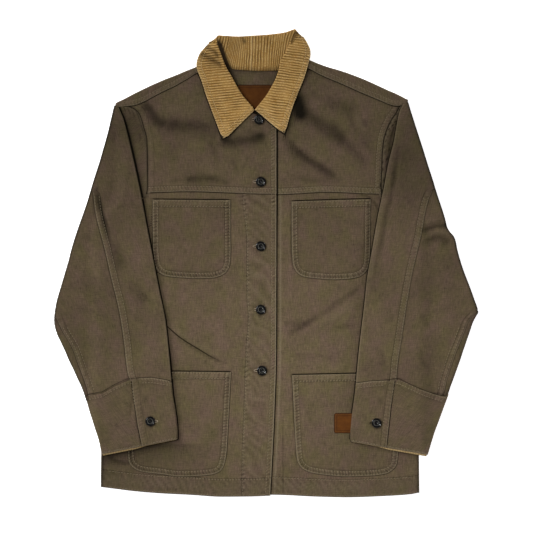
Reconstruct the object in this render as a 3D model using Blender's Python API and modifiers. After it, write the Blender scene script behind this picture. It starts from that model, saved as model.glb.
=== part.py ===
"""Chore jacket laid flat: twill body, corduroy collar, sleeves brought in over the sides. Metres, +Z up."""
import bpy
import bmesh
import numpy as np

# sizes in millimetres; MM turns them into metres
MM = 0.001
WALL = 1.2              # twill, as sewn
LAP = 1.5               # one wall and a 0.3 gap: what a piece rises where it lies on another
GAP = 0.3               # between neighbouring pieces at a seam
FRONT_TOP = 6.0         # outside of the wearer's right front over the floor
UNDER_TOP = 5.4         # outside of the wearer's left front
PLACKET_RISE = 0.6      # right front over the button stand
PLACKET_SINK = 1.8      # left front below it
ROLL = 3.0              # side folds and shoulder folds
SIDE_TURN = 12.0        # fronts go this far under at the sides
SLEEVE_THICK = 6.3
HOOK_THICK = 4.2
HOOK_TURN = 12.0
CUFF_LAP = 14.0
CORD_WALL = 1.6
CORD_RISE = 0.45
WALE = 6.8
BUTTON_R = 8.6
BUTTON_H = 2.3

# side of the body, both sides: y, x of the right side fold, x of the left side fold
SIDES = np.array([
    (-400, -285.5, 263.5), (-300, -284.5, 262.5), (-150, -283, 261), (0, -281.5, 259.5), (59, -281, 259)])
# hem of the right front and of the left front: x, y
HEM_RIGHT = np.array([
    (-290, -385), (-285, -385.5), (-229, -392.5), (-188, -396), (-131, -399), (-57, -402), (6, -401), (20, -400.5)])
HEM_LEFT = np.array([(-40, -399), (8, -399.5), (32, -400), (127, -403), (230, -399), (263, -395), (268, -394)])
# right front edge: y, x
PLACKET = np.array([(-402, 6), (-328, 10), (-240, 14), (-150, 17), (130, 17), (262, 17)])
# under edge of the left front, below the placket
UNDER_EDGE = np.array([(-402, -36), (262, -35)])
# armholes of the fronts, seam lines: y, x right, x left
ARMHOLE = np.array([
    (59, -281, 259), (77, -252, 233), (101, -223, 209), (119, -206, 198), (130, -204, 197), (168, -204, 198),
    (209, -205, 201), (235, -211, 210), (250, -215.5, 219), (258, -219, 225), (265, -226, 227), (270, -237, 229),
    (273, -250, 232)])
# top edge of the front yokes: x, y
TOP_RIGHT = np.array([
    (-256, 272), (-250, 273), (-229, 277), (-217, 280), (-180, 302), (-123, 332), (-96, 343), (-91, 341),
    (-88, 335), (-81, 314), (-64, 288.5), (-36, 263.5), (-28, 259), (-20, 256.5), (-12, 253), (-5, 250), (17, 249)])
TOP_LEFT = np.array([
    (-35, 251), (-4, 254), (14, 266), (35, 286), (47, 313), (50.5, 336), (57, 344), (66, 338), (84, 331),
    (127, 314), (178, 292), (223, 275), (232, 274), (238, 273)])
# yoke seams, lower edge: x, y
SEAM_RIGHT = np.array([(-230, 120), (-216, 120.5), (-135, 123), (4, 119), (20, 119)])
SEAM_LEFT = np.array([(-40, 118), (17, 118), (104, 122), (197, 119), (220, 119)])
# shoulder fold and the lower edge of the strip that laps on the fronts: x, fold y, strip y
SHOULDER_RIGHT = np.array([
    (-258, 275.5, 270), (-250, 280, 271.5), (-229, 291, 271), (-217, 297, 274), (-180, 314, 295),
    (-138, 331, 316), (-123, 337, 325), (-88, 352.5, 341)])
SHOULDER_LEFT = np.array([
    (53, 359, 341), (89, 343.5, 322), (104, 338, 316), (128, 331, 307), (173, 314, 287), (209, 297.5, 272),
    (223, 291.5, 267), (232, 287, 272), (242, 281.5, 275.5)])
BACK_NECK = np.array([
    (-88, 349.5), (-72, 337.5), (-65, 332), (-58, 329.8), (-45, 329.4), (-20, 328.8), (6, 329.2), (18, 330.2),
    (26, 332), (37, 340.5), (53, 356)])

# sleeves, a row across the tube: outer fold x, y, inner fold x, y, seam along the top x, y
SLEEVE_RIGHT = np.array([
    (-262, 269, -253, 268.5, -258, 268.8), (-266, 250, -247, 249, -260, 249), (-270, 231, -242, 231, -262, 231),
    (-275, 211, -237, 214, -266, 212), (-286, 173, -229, 173, -277, 173), (-298, 132, -218, 128, -292, 132),
    (-307, 104, -214, 101, -288, 103), (-315, 80, -210, 80, -284, 80), (-325, 49, -204, 49, -279, 49),
    (-338, 8, -196, 8, -271, 8), (-352, -37, -186, -37, -260, -37), (-362, -71, -179, -71, -250, -71),
    (-365, -92, -175, -99, -244, -97), (-361, -120, -172, -130, -239, -126), (-347, -149, -169, -154, -235, -152),
    (-334, -176, -165, -181, -232, -179), (-321, -207, -163, -202, -228, -204), (-312, -231, -162, -211, -227, -217)])
SLEEVE_LEFT = np.array([
    (246, 273, 236, 272, 241, 272.5), (252, 252, 227, 256, 240, 253), (257, 233, 223, 234, 243, 233),
    (263, 214, 220, 212, 252, 213), (275, 176, 211, 176, 265, 176), (289, 135, 203, 135, 282, 135),
    (298, 108, 198, 108, 278, 108), (308, 80, 193, 83, 272, 81), (311, 61, 189, 59, 268, 60),
    (324, 39, 185, 32, 263, 36), (333, 4, 179, 4, 258, 4), (347, -30, 173, -30, 250, -30),
    (360, -64, 169, -64, 242, -64), (364, -84, 166, -90, 238, -88), (357, -102, 163, -116, 233, -111),
    (344, -135, 160, -142, 229, -139), (331, -171, 157, -176, 226, -174), (314, -222, 154, -208, 223, -213)])
# cuffs: the first and last row of each, the same columns
CUFF_RIGHT = np.array([(-311, -232, -162, -212, -226, -218), (-284, -328, -153, -303, -213, -316)])
CUFF_LEFT = np.array([(313, -223, 154, -209, 223, -214), (278, -329, 145, -306, 207, -317)])
# the back seam of each sleeve shows below the elbow: y, distance from the outer fold (hidden where negative)
ELBOW_SEAM = np.array([(275, -1), (-75, -1), (-92, 3), (-114, 11), (-145, 16), (-175, 12), (-205, 9), (-235, 7)])

# where the sleeves start to come down beside the body above the underarm: y, x right, x left
ARM_EDGE = np.array([
    (59, -283, 261), (80, -272, 250), (101, -248, 236), (130, -236, 224), (170, -235, 219), (209, -233, 225),
    (235, -235, 228), (250, -239, 232), (262, -243, 235), (273, -248, 239)])

# patch pockets: corners x, y from the top inner corner round; the third row is the point of the bottom
POCKETS = {
    "chest_pocket_right": [(-196, 109), (-64, 107), (-61.5, -9), (-70, -17), (-120, -26), (-185, -17), (-194, -8)],
    "chest_pocket_left": [(43, 106), (180, 109), (176.5, -9), (168, -18), (114, -28), (53, -19), (45, -10)],
    "hip_pocket_right": [(-238, -187), (-61, -187), (-70, -352), (-80, -361), (-146, -369), (-230, -352), (-238, -343)],
    "hip_pocket_left": [(44, -193), (226, -189), (226, -340), (218, -349), (137, -367), (60, -344), (50, -335)],
}
BUTTONS = [(-13, 247), (-10, 140), (-10, 29), (-10, -80), (-8, -185)]
CUFF_BUTTONS = {"cuff_button_right": (-200, -272), "cuff_button_left": (189, -275)}
POCKET_LABEL = (116, -293, 160, -258)
NECK_LABEL = (-51, 262, 13, 307)
# main folds of the fronts: ends x, y, x, y, then height and half width
FOLDS = np.array([
    (-171, -95, -131, -130, -1.1, 9), (-131, -130, -73, -175, -1.2, 9), (-160, -88, -84, -160, 0.7, 14),
    (30, 209, 112, 150, -0.9, 10), (58, 266, 100, 215, -0.8, 12), (-205, 255, -186, 236, -0.9, 11)])

# collar stations from the wearer's right tip round the neck to the left tip: neck seam x, y, z, fold x, y, z,
# side (1 where the fall lies on the stand, -1 where it lies under it), outer edge x, y, z
COLLAR = np.array([
    (-12, 253, 5.0, -14, 250, 7.0, 1, -72, 205, 9.4),
    (-34, 266, 4.6, -24, 268, 6.8, 1, -90, 251, 9.0),
    (-62, 290, 4.4, -43, 291, 6.6, 1, -103, 286, 8.8),
    (-79, 315, 4.6, -60, 321, 6.8, 1, -112, 314, 8.8),
    (-86, 336, 4.6, -71, 340, 7.2, 1, -120.5, 338, 9.2),
    (-84.5, 348, 4.0, -78.5, 360, 7.8, 1, -117, 356, 7.2),
    (-78, 348, 3.2, -84.5, 377, 7.4, 0, -107, 371, 2.4),
    (-71, 339, 2.6, -84.5, 390.5, 4.4, -1, -93, 380, 1.4),
    (-62, 333, 2.2, -71, 391, 3.0, -1, -75, 362, 0.7),
    (-45, 331.5, 2.2, -49, 390, 2.8, -1, -49, 352, 0.7),
    (-20, 330.5, 2.2, -20, 391.5, 2.8, -1, -20, 352, 0.7),
    (6, 331, 2.2, 10, 394, 2.8, -1, 10, 354, 0.7),
    (21, 332.5, 2.2, 32, 397, 3.0, -1, 36, 366, 0.7),
    (34, 341, 2.6, 50, 402, 4.4, -1, 60, 388, 1.4),
    (43, 350, 3.2, 42, 385, 7.4, 0, 73, 374, 2.4),
    (50, 350, 4.0, 34.5, 366, 7.8, 1, 76, 359, 7.4),
    (48, 338, 4.6, 24, 345, 7.2, 1, 72, 343, 9.4),
    (44, 315, 4.6, 17, 320, 6.8, 1, 65, 319, 8.8),
    (32, 289, 4.6, 2, 292, 7.2, 1, 54, 292, 9.0),
    (0, 264, 5.0, -14, 271, 8.6, 1, 42, 259, 9.8),
    (-20, 250, 5.6, -26, 256, 10.0, 1, 30, 214, 10.8)])
# front edges of the collar: a point, then the way the edge runs
COLLAR_CUTS = {"right": ((-21.6, 259.9), (-46.4, -45.2)), "left": ((-18.8, 260.8), (42.2, -35.8))}


def column(table, key, value):
    return np.interp(key, table[:, 0], table[:, value])


def smooth(value):
    value = np.clip(value, 0.0, 1.0)
    return value * value * (3 - 2 * value)


def fold_height(x, y):
    height = np.zeros(np.shape(x))
    for ax, ay, bx, by, rise, wide in FOLDS:
        long = np.hypot(bx - ax, by - ay)
        along = ((x - ax) * (bx - ax) + (y - ay) * (by - ay)) / long
        across = ((x - ax) * (by - ay) - (y - ay) * (bx - ax)) / long
        ends = smooth((along + wide) / (2 * wide)) * smooth((long + wide - along) / (2 * wide))
        height = height + rise * ends * np.exp(-(across / wide) ** 2)
    return height


def strip_line(x):
    table = np.vstack([SHOULDER_RIGHT[:, [0, 2]], SHOULDER_LEFT[:, [0, 2]]])
    return np.interp(x, table[:, 0], table[:, 1])


def top_right(x, y):
    """outside height of the wearer's right front, lower over the shoulder and a little proud at the placket"""
    slope = 1.5 * smooth((y - strip_line(x) + 45) / 30) * (x < -30)
    return FRONT_TOP + PLACKET_RISE * smooth((x + 58) / 22) - slope + fold_height(x, y)


def top_left(x, y):
    """outside height of the wearer's left front, sinking below the placket"""
    slope = 0.9 * smooth((y - strip_line(x) + 45) / 30) * (x > 30)
    return UNDER_TOP - PLACKET_SINK * smooth((42 - x) / 26) - slope + fold_height(x, y)


def material(name, colour, rough):
    mat = bpy.data.materials.new(name)
    mat.use_nodes = True
    shader = mat.node_tree.nodes["Principled BSDF"]
    shader.inputs["Base Color"].default_value = (*colour, 1)
    shader.inputs["Roughness"].default_value = rough
    return mat


def finish(name, mesh, mat):
    obj = bpy.data.objects.new(name, mesh)
    JACKET.objects.link(obj)
    mesh.materials.append(mat)
    return obj


def sheet(name, points, mat, wall=WALL, keep=None, inward=True):
    """a cloth wall on a grid of outer points, thickened inwards; keep says which of its squares exist"""
    rows, cols = points.shape[:2]
    keep = np.ones((rows - 1, cols - 1), bool) if keep is None else keep
    index = np.arange(rows * cols).reshape(rows, cols)
    quads = np.stack([index[:-1, :-1], index[:-1, 1:], index[1:, 1:], index[1:, :-1]], -1)[keep]
    used = np.unique(quads)
    remap = np.full(rows * cols, -1)
    remap[used] = np.arange(len(used))
    mesh = bpy.data.meshes.new(name)
    mesh.from_pydata((points.reshape(-1, 3)[used] * MM).tolist(), [], remap[quads].tolist())
    obj = finish(name, mesh, mat)
    solid = obj.modifiers.new("wall", "SOLIDIFY")
    solid.thickness = wall * MM
    solid.offset = -1 if inward else 1
    solid.use_even_offset = True
    solid.use_quality_normals = True
    return obj


def loft(name, outer, inner, mat):
    """a closed wall between two grids of points of the same shape"""
    rows, cols = outer.shape[:2]
    a = np.arange(rows * cols).reshape(rows, cols)
    b = a + rows * cols
    faces = [np.stack([a[:-1, :-1], a[:-1, 1:], a[1:, 1:], a[1:, :-1]], -1).reshape(-1, 4),
             np.stack([b[:-1, :-1], b[1:, :-1], b[1:, 1:], b[:-1, 1:]], -1).reshape(-1, 4)]
    ring = np.concatenate([a[0, :-1], a[:-1, -1], a[-1, :0:-1], a[:0:-1, 0]])
    after = np.roll(ring, -1)
    faces.append(np.stack([ring, ring + rows * cols, after + rows * cols, after], -1))
    mesh = bpy.data.meshes.new(name)
    points = np.concatenate([outer.reshape(-1, 3), inner.reshape(-1, 3)]) * MM
    mesh.from_pydata(points.tolist(), [], np.concatenate(faces).tolist())
    return finish(name, mesh, mat)


def tidy(obj):
    """modifiers applied, flat faces split into triangles, normals outward"""
    graph = bpy.context.evaluated_depsgraph_get()
    mesh = bpy.data.meshes.new_from_object(obj.evaluated_get(graph))
    obj.modifiers.clear()
    work = bmesh.new()
    work.from_mesh(mesh)
    bmesh.ops.recalc_face_normals(work, faces=work.faces)
    bmesh.ops.triangulate(work, faces=work.faces)
    work.to_mesh(mesh)
    work.free()
    obj.data = mesh


def front(side):
    """lower front: rows from the hem to the yoke seam, columns from the front edge to the side, round its fold"""
    right = side == "right"
    sign = -1 if right else 1
    rows = np.array([0, 0.04, 0.14, 0.26, 0.37, 0.42, 0.47, 0.52, 0.57, 0.62, 0.72, 0.86, 0.92, 0.96, 1])
    level = -393 + rows * (126 + 393)
    split = 11
    level[split] = 59.0
    rows = (level + 393) / (126 + 393)
    hem = HEM_RIGHT if right else HEM_LEFT
    seam = SEAM_RIGHT if right else SEAM_LEFT
    edge = column(PLACKET, level, 1) if right else column(UNDER_EDGE, level, 1)
    value = 1 if right else 2
    side_x = column(SIDES, level, value) - sign * ROLL
    arm_x = column(ARMHOLE, level, value) + sign * 5
    outer_x = np.where(np.arange(len(level)) > split, arm_x, side_x)
    if right:
        across = np.array([0, 0.14, 0.19, 0.26, 0.37, 0.46, 0.54, 0.62, 0.71, 0.84, 1])
    else:
        across = np.array([0, 0.16, 0.21, 0.26, 0.36, 0.5, 0.64, 0.78, 0.9, 1])
    x = edge[:, None] + (outer_x - edge)[:, None] * across[None, :]
    low = column(hem, x, 1)
    high = column(seam, x, 1) + 7
    y = low + (high - low) * rows[:, None]
    z = top_right(x, y) if right else top_left(x, y)
    z[:, -1] = np.where(np.arange(len(level)) > split, z[:, -1], FRONT_TOP if right else UNDER_TOP)
    grid = np.stack([x, y, z], -1)
    turn = np.radians([60, 20, -20, -60, -90])
    radius = (FRONT_TOP if right else UNDER_TOP) / 2
    roll_x = side_x[:, None] + sign * radius * np.cos(turn)[None, :]
    roll_z = radius + radius * np.sin(turn)[None, :] + 0 * roll_x
    roll = np.stack([roll_x, np.repeat(y[:, -1:], 5, 1), roll_z], -1)
    under = np.stack([side_x - sign * (SIDE_TURN - ROLL), y[:, -1], 0 * side_x], -1)[:, None, :]
    grid = np.concatenate([grid, roll, under], 1)
    keep = np.ones((grid.shape[0] - 1, grid.shape[1] - 1), bool)
    keep[split:, len(across) - 1:] = False
    if not right:
        grid = grid[:, ::-1]
        keep = keep[:, ::-1]
    return sheet("front_" + side, grid[:, ::-1], TWILL, keep=keep[:, ::-1])


def yoke(side):
    """front yoke: its lower edge laps on the front, its top edge goes under the shoulder strip"""
    right = side == "right"
    value = 1 if right else 2
    sign = -1 if right else 1
    rows = np.array([0, 0.055, 0.094, 0.22, 0.36, 0.50, 0.64, 0.76, 0.86, 0.93, 1])
    level = 119 + rows * (273 - 119)
    outer_x = column(ARMHOLE, level, value) + sign * 5
    edge = np.full(len(rows), 17.0 if right else -35.0)
    if right:
        across = np.array([0, 0.08, 0.13, 0.17, 0.23, 0.30, 0.36, 0.41, 0.46, 0.52, 0.62, 0.73, 0.84, 0.93, 1])
    else:
        across = np.array([0, 0.1, 0.17, 0.21, 0.25, 0.28, 0.31, 0.34, 0.40, 0.48, 0.6, 0.73, 0.86, 0.94, 1])
    x = edge[:, None] + (outer_x - edge)[:, None] * across[None, :]
    low = column(SEAM_RIGHT if right else SEAM_LEFT, x, 1)
    high = column(TOP_RIGHT if right else TOP_LEFT, x, 1)
    y = low + (high - low) * rows[:, None]
    y[1] = low[1] + 8.5
    y[2] = low[2] + 14.5
    z = top_right(x, y) if right else top_left(x, y)
    z = z + LAP * (1 - smooth((y - low - 8.5) / 6))
    grid = np.stack([x, y, z], -1)
    return sheet("yoke_" + side, grid[:, ::-1] if right else grid, TWILL)


def back():
    level = np.array([-385, -370, -300, -200, -100, 0, 45, 58, 70, 100, 125, 149.7])
    right = np.where(level <= 59, column(SIDES, level, 1) + SIDE_TURN + GAP, column(ARMHOLE, level, 1) - 8)
    left = np.where(level <= 59, column(SIDES, level, 2) - SIDE_TURN - GAP, column(ARMHOLE, level, 2) + 8)
    right[8:10] = -258, -228
    left[8:10] = 236, 212
    across = np.linspace(0, 1, 7)
    x = right[:, None] + (left - right)[:, None] * across[None, :]
    y = np.repeat(level[:, None], 7, 1)
    y[0] = np.minimum(column(HEM_RIGHT, x[0], 1), -385) + 2
    return sheet("back_panel", np.stack([x, y, np.full_like(x, WALL)], -1), TWILL)


def back_yoke():
    """flat on the floor, folded forward over both shoulders; the neck is open between them"""
    steps = np.array([0, 0.5, 0.78, 0.93, 1])
    right = np.array([-212, -214, -224, -243, -258])
    left = np.array([205, 209, 219, 233, 242])
    neck_r = np.full(5, -88.0)
    neck_l = np.full(5, 53.0)
    parts = [np.linspace(0, 1, 7)[:-1], np.array([0, 0.1, 0.16, 0.35, 0.6, 0.78]), np.linspace(0, 1, 7)]
    x = np.concatenate([right[:, None] + (neck_r - right)[:, None] * parts[0],
                        neck_r[:, None] + (neck_l - neck_r)[:, None] * parts[1],
                        neck_l[:, None] + (left - neck_l)[:, None] * parts[2]], 1)
    fold = np.where(x < -20, column(SHOULDER_RIGHT, x, 1), column(SHOULDER_LEFT, x, 1))
    neck = column(BACK_NECK, x, 1)
    is_neck = (x > -88) & (x < 53)
    end = np.where(is_neck, neck, fold - ROLL)
    y = 150 + (end - 150) * steps[:, None]
    flat = np.stack([x, y, np.zeros_like(x)], -1)
    turn = np.radians([-50, -15, 15, 50, 90])[:, None]
    top_x = x[-1][None, :]
    fold_y = fold[-1][None, :]
    roll_y = fold_y - ROLL + ROLL * np.cos(turn)
    roll_z = ROLL + ROLL * np.sin(turn)
    roll = np.stack([top_x + 0 * roll_y, roll_y, roll_z + 0 * roll_y], -1)
    strip_y = strip_line(top_x)
    part = np.array([0.5, 1.0])[:, None]
    strip = np.stack([top_x + 0 * part, fold_y - ROLL + (strip_y - fold_y + ROLL) * part, 6.0 + 0 * part * top_x], -1)
    grid = np.concatenate([flat, roll, strip], 0)
    keep = np.ones((grid.shape[0] - 1, grid.shape[1] - 1), bool)
    keep[4:, 6:12] = False
    return sheet("back_yoke", grid[::-1], TWILL, keep=keep[::-1])


def rest_height(side, x, y):
    """what the sleeves lie on: the body, its pocket and label near the cuffs, then down to the floor beside it"""
    right = side == "right"
    value = 1 if right else 2
    sign = -1 if right else 1
    top = FRONT_TOP if right else UNDER_TOP
    extra = (2.5 if right else 3.4) * smooth((-135 - y) / 35) + 0.9 * smooth((65 - np.abs(y)) / 30)
    extra = extra + 1.6 * smooth((142 - y) / 7) * smooth((y - 93) / 8)
    edge = sign * np.where(y > 59, column(ARM_EDGE, y, value), column(SIDES, y, value))
    drop = smooth((sign * x - edge - 1.0) / 28)
    slope = (1.5 if right else 0.9) * smooth((y - 245) / 35)
    return (top + extra - slope) * (1 - drop)


def sleeve_path(side, row, thick, hook_thick, hook, lap=0.0):
    """a row across the sleeve as a dense line from the hidden turned end, round the inner fold, over the top,
    round the outer fold and back below, with the lengths at which it passes the folds"""
    ox, oy, ix, iy, sx, sy = row
    wide = np.hypot(ox - ix, oy - iy)
    way = np.array([ox - ix, oy - iy]) / wide
    hook = min(hook, 0.42 * wide)
    radius = hook_thick / 2
    big = thick / 2
    turn = np.radians(np.linspace(-90, 90, 9))
    far = np.linspace(radius, wide - big, 40)
    sign = -1 if side == "right" else 1
    under_end = 4.0
    if iy > 112:
        under_end = -sign * (ix - column(ARMHOLE, iy, 1 if side == "right" else 2))
    below = np.linspace(wide - big, under_end, 40)

    def base(s):
        x = ix + way[0] * s
        y = iy + way[1] * s
        return rest_height(side, x, y) + GAP

    step = thick - hook_thick
    line = []
    for s in np.linspace(hook + radius, radius, 5)[:-1]:
        line.append((s, base(s) + step))
    for a in turn:
        line.append((radius - radius * np.cos(a), base(radius) + step + radius + radius * np.sin(a)))
    for s in far[1:-1]:
        line.append((s, base(s) + thick))
    for a in turn[::-1]:
        line.append((wide - big + big * np.cos(a), base(wide - big) + big + big * np.sin(a)))
    for s in below[1:]:
        line.append((s, base(s)))
    line = np.array(line)
    line[:, 1] = np.maximum(line[:, 1], 0.0)
    points = np.stack([ix + way[0] * line[:, 0], iy + way[1] * line[:, 0], line[:, 1]], -1)
    length = np.concatenate([[0], np.cumsum(np.linalg.norm(np.diff(points, axis=0), axis=1))])
    seam = (sx - ix) * way[0] + (sy - iy) * way[1]
    top = slice(4 + 9, 4 + 9 + 38)
    at_seam = np.interp(seam, line[top, 0], length[top])
    outer = length[4 + 9 + 38 + 4]
    inner = length[4 + 4]
    low = slice(4 + 9 + 38 + 9, None)
    value = 1 if side == "right" else 2
    edge_y = (oy + iy) / 2
    edge = sign * column(ARM_EDGE if edge_y > 59 else SIDES, edge_y, value)
    marks = (edge - sign * ix + np.array([24, 16, 8, 0.5])) / (sign * way[0])
    ends = np.linspace(marks[-1], under_end, 4)[1:] if marks[-1] > under_end + 3 else under_end - np.array([0.6, 0.3, 0])
    marks = np.concatenate([marks, ends])
    at_marks = np.interp(-marks, -line[low, 0], length[low])
    return points, length, at_seam, inner, outer, at_marks


def along(points, length, at):
    return np.stack([np.interp(at, length, points[:, i]) for i in range(3)], -1)


def sleeve(side):
    table = SLEEVE_RIGHT if side == "right" else SLEEVE_LEFT
    front_rows = []
    elbow_rows = []
    under_rows = []
    for row in table:
        points, length, seam, inner, outer, marks = sleeve_path(side, row, SLEEVE_THICK, HOOK_THICK, HOOK_TURN)
        back_seam = outer - np.interp(-row[1], -ELBOW_SEAM[:, 0], ELBOW_SEAM[:, 1])
        ends = [0.0, seam - GAP / 2]
        near = np.array([0, 0.35, 0.7, 1]) * (inner - 3.8)
        turn = inner + np.array([-2.2, 0, 2.2, 4.2])
        rest = np.linspace(min(inner + 9, seam - 1.5), ends[1], 5)
        turn = np.minimum(turn, rest[0] - 0.3)
        front_rows.append(along(points, length, np.concatenate([near, turn, rest])))
        start = seam + GAP / 2
        room = GAP / 2 + 0.45 * smooth((14 - outer + back_seam) / 9)
        stop = back_seam - room
        tail = np.array([22, 16, 10, 5.2, 3.4, 1.7, 0.0])
        tail = np.minimum(tail, (stop - start) * tail / 30 if stop - start < 32 else tail)
        sparse = np.linspace(start, stop - tail[0], 5)[:-1]
        elbow_rows.append(along(points, length, np.concatenate([sparse, stop - tail])))
        start = back_seam + room
        head = np.array([0, 1.7, 3.4, 5.2, 9, 14, 20])
        marks = np.maximum(marks, start + 6 + np.arange(7) * 0.8)
        head = start + head * min(1, (marks[0] - 0.8 - start) / head[-1])
        under_rows.append(along(points, length, np.concatenate([head, marks])))
    flip = slice(None) if side == "right" else slice(None, None, -1)
    sheet("sleeve_front_" + side, np.array(front_rows)[flip], TWILL)
    sheet("sleeve_elbow_" + side, np.array(elbow_rows)[flip], TWILL)
    sheet("sleeve_under_" + side, np.array(under_rows)[flip], TWILL)


def cuff_grid(side, inset, extra, start, stop, count):
    """rows of a cuff, a band whose upper end lies LAP above its own lower end; inset and extra shrink it for the facing"""
    ends = CUFF_RIGHT if side == "right" else CUFF_LEFT
    rows = []
    for part in np.linspace(start, stop, count):
        ox, oy, ix, iy, sx, sy = ends[0] + (ends[1] - ends[0]) * part
        wide = np.hypot(ox - ix, oy - iy)
        way = np.array([ox - ix, oy - iy]) / wide
        seam = (sx - ix) * way[0] + (sy - iy) * way[1]
        low_r = (SLEEVE_THICK + LAP) / 2 - inset
        big_r = SLEEVE_THICK / 2 - inset
        s_in = (SLEEVE_THICK + LAP) / 2
        s_out = wide - SLEEVE_THICK / 2
        base = lambda s: rest_height(side, ix + way[0] * s, iy + way[1] * s) + GAP
        line = []
        for s in np.linspace(seam - extra, s_in, 6)[:-1]:
            line.append((s, base(s) + SLEEVE_THICK + LAP - inset))
        for a in np.radians([90, 50, 17, -17, -50, -90]):
            line.append((s_in - low_r * np.cos(a), base(s_in) + s_in + low_r * np.sin(a)))
        for s in np.linspace(s_in, s_out, 9)[1:-1]:
            line.append((s, base(s) + inset))
        for a in np.radians([-90, -50, -17, 17, 50, 90]):
            line.append((s_out + big_r * np.cos(a), base(s_out) + SLEEVE_THICK / 2 + big_r * np.sin(a)))
        for s in np.linspace(s_out, seam - CUFF_LAP + extra / 2, 6)[1:]:
            line.append((s, base(s) + SLEEVE_THICK - inset))
        rows.append([(ix + way[0] * s, iy + way[1] * s, z) for s, z in line])
    return np.array(rows)


def cuff(side):
    flip = slice(None, None, -1) if side == "right" else slice(None)
    sheet("cuff_" + side, cuff_grid(side, 0.0, 0.0, 0.0, 1.0, 4)[flip], TWILL)
    inside = cuff_grid(side, WALL + 2.5 * GAP, CUFF_LAP + 2, 2 / 3, 1.0, 2)
    inside = inside[0] + (inside[1] - inside[0]) * np.array([0.86, 1.066])[:, None, None]
    sheet("cuff_facing_" + side, inside[flip], CORD, wall=1.0)


def pocket(name):
    """a patch on the front: a ring of edge points and the same ring moved in, on the height of the cloth below"""
    corners = np.array(POCKETS[name], float)
    right = name.endswith("right")
    height = top_right if right else top_left
    low_y = corners[:, 1].min()
    top_y = corners[:2, 1].max()
    x_left, x_right = corners[[0, 4 + 2], 0].min(), corners[:, 0].max()
    order = np.argsort(corners[:, 0])
    base_line = corners[[i for i in order if i > 1]]
    top_line = corners[:2][np.argsort(corners[:2, 0])]
    across = np.unique(np.concatenate([base_line[:, 0], np.linspace(base_line[0, 0], base_line[-1, 0], 9)]))
    rows = np.array([0, 0.3, 0.65, 0.9, 1.0])
    low = np.interp(across, base_line[:, 0], base_line[:, 1])
    part = (across - across[0]) / (across[-1] - across[0])
    high_x = top_line[0, 0] + (top_line[1, 0] - top_line[0, 0]) * part
    high_y = top_line[0, 1] + (top_line[1, 1] - top_line[0, 1]) * part
    x = across[None, :] + (high_x - across)[None, :] * rows[:, None]
    y = low[None, :] + (high_y - low)[None, :] * rows[:, None]
    z = height(x, y) + LAP + np.array([0, 0, 0.0, 0.3, 0.7])[:, None]
    return sheet(name, np.stack([x, y, z], -1), TWILL)


def patch(name, box, z, wall, mat):
    x0, y0, x1, y1 = box
    xs, ys = np.meshgrid([x0, x1], [y0, y1])
    return sheet(name, np.stack([xs.astype(float), ys.astype(float), np.full_like(xs, z, float)], -1), mat, wall=wall)


def button(name, x, y, z):
    """a dished button turned on the Screw modifier"""
    profile = [(0.0, 0.0), (7.6, 0.0), (8.6, 1.0), (8.2, 2.1), (7.6, 2.3), (6.4, 1.5), (3.8, 1.5), (3.3, 1.9), (0.0, 1.9)]
    mesh = bpy.data.meshes.new(name)
    mesh.from_pydata([(r * MM, 0, h * MM) for r, h in profile], [(i, i + 1) for i in range(8)], [])
    obj = finish(name, mesh, HORN)
    turn = obj.modifiers.new("turn", "SCREW")
    turn.angle = 2 * np.pi
    turn.steps = 10
    turn.render_steps = 10
    turn.use_merge_vertices = True
    turn.merge_threshold = 0.0001
    tidy(obj)
    coords = np.empty(len(obj.data.vertices) * 3)
    obj.data.vertices.foreach_get("co", coords)
    coords = coords.reshape(-1, 3) + np.array([x, y, z]) * MM
    obj.data.vertices.foreach_set("co", coords.ravel())
    obj.data.update()
    return obj


def spline(values, at):
    """cubic through the rows of values, with the slopes of their neighbours"""
    last = len(values) - 1
    i = np.clip(np.floor(at).astype(int), 0, last - 1)
    t = (at - i)[:, None]
    slope = np.gradient(values, axis=0)
    a, b = values[i], values[i + 1]
    return ((2 * t**3 - 3 * t**2 + 1) * a + (t**3 - 2 * t**2 + t) * slope[i]
            + (3 * t**2 - 2 * t**3) * b + (t**3 - t**2) * slope[i + 1])


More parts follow.
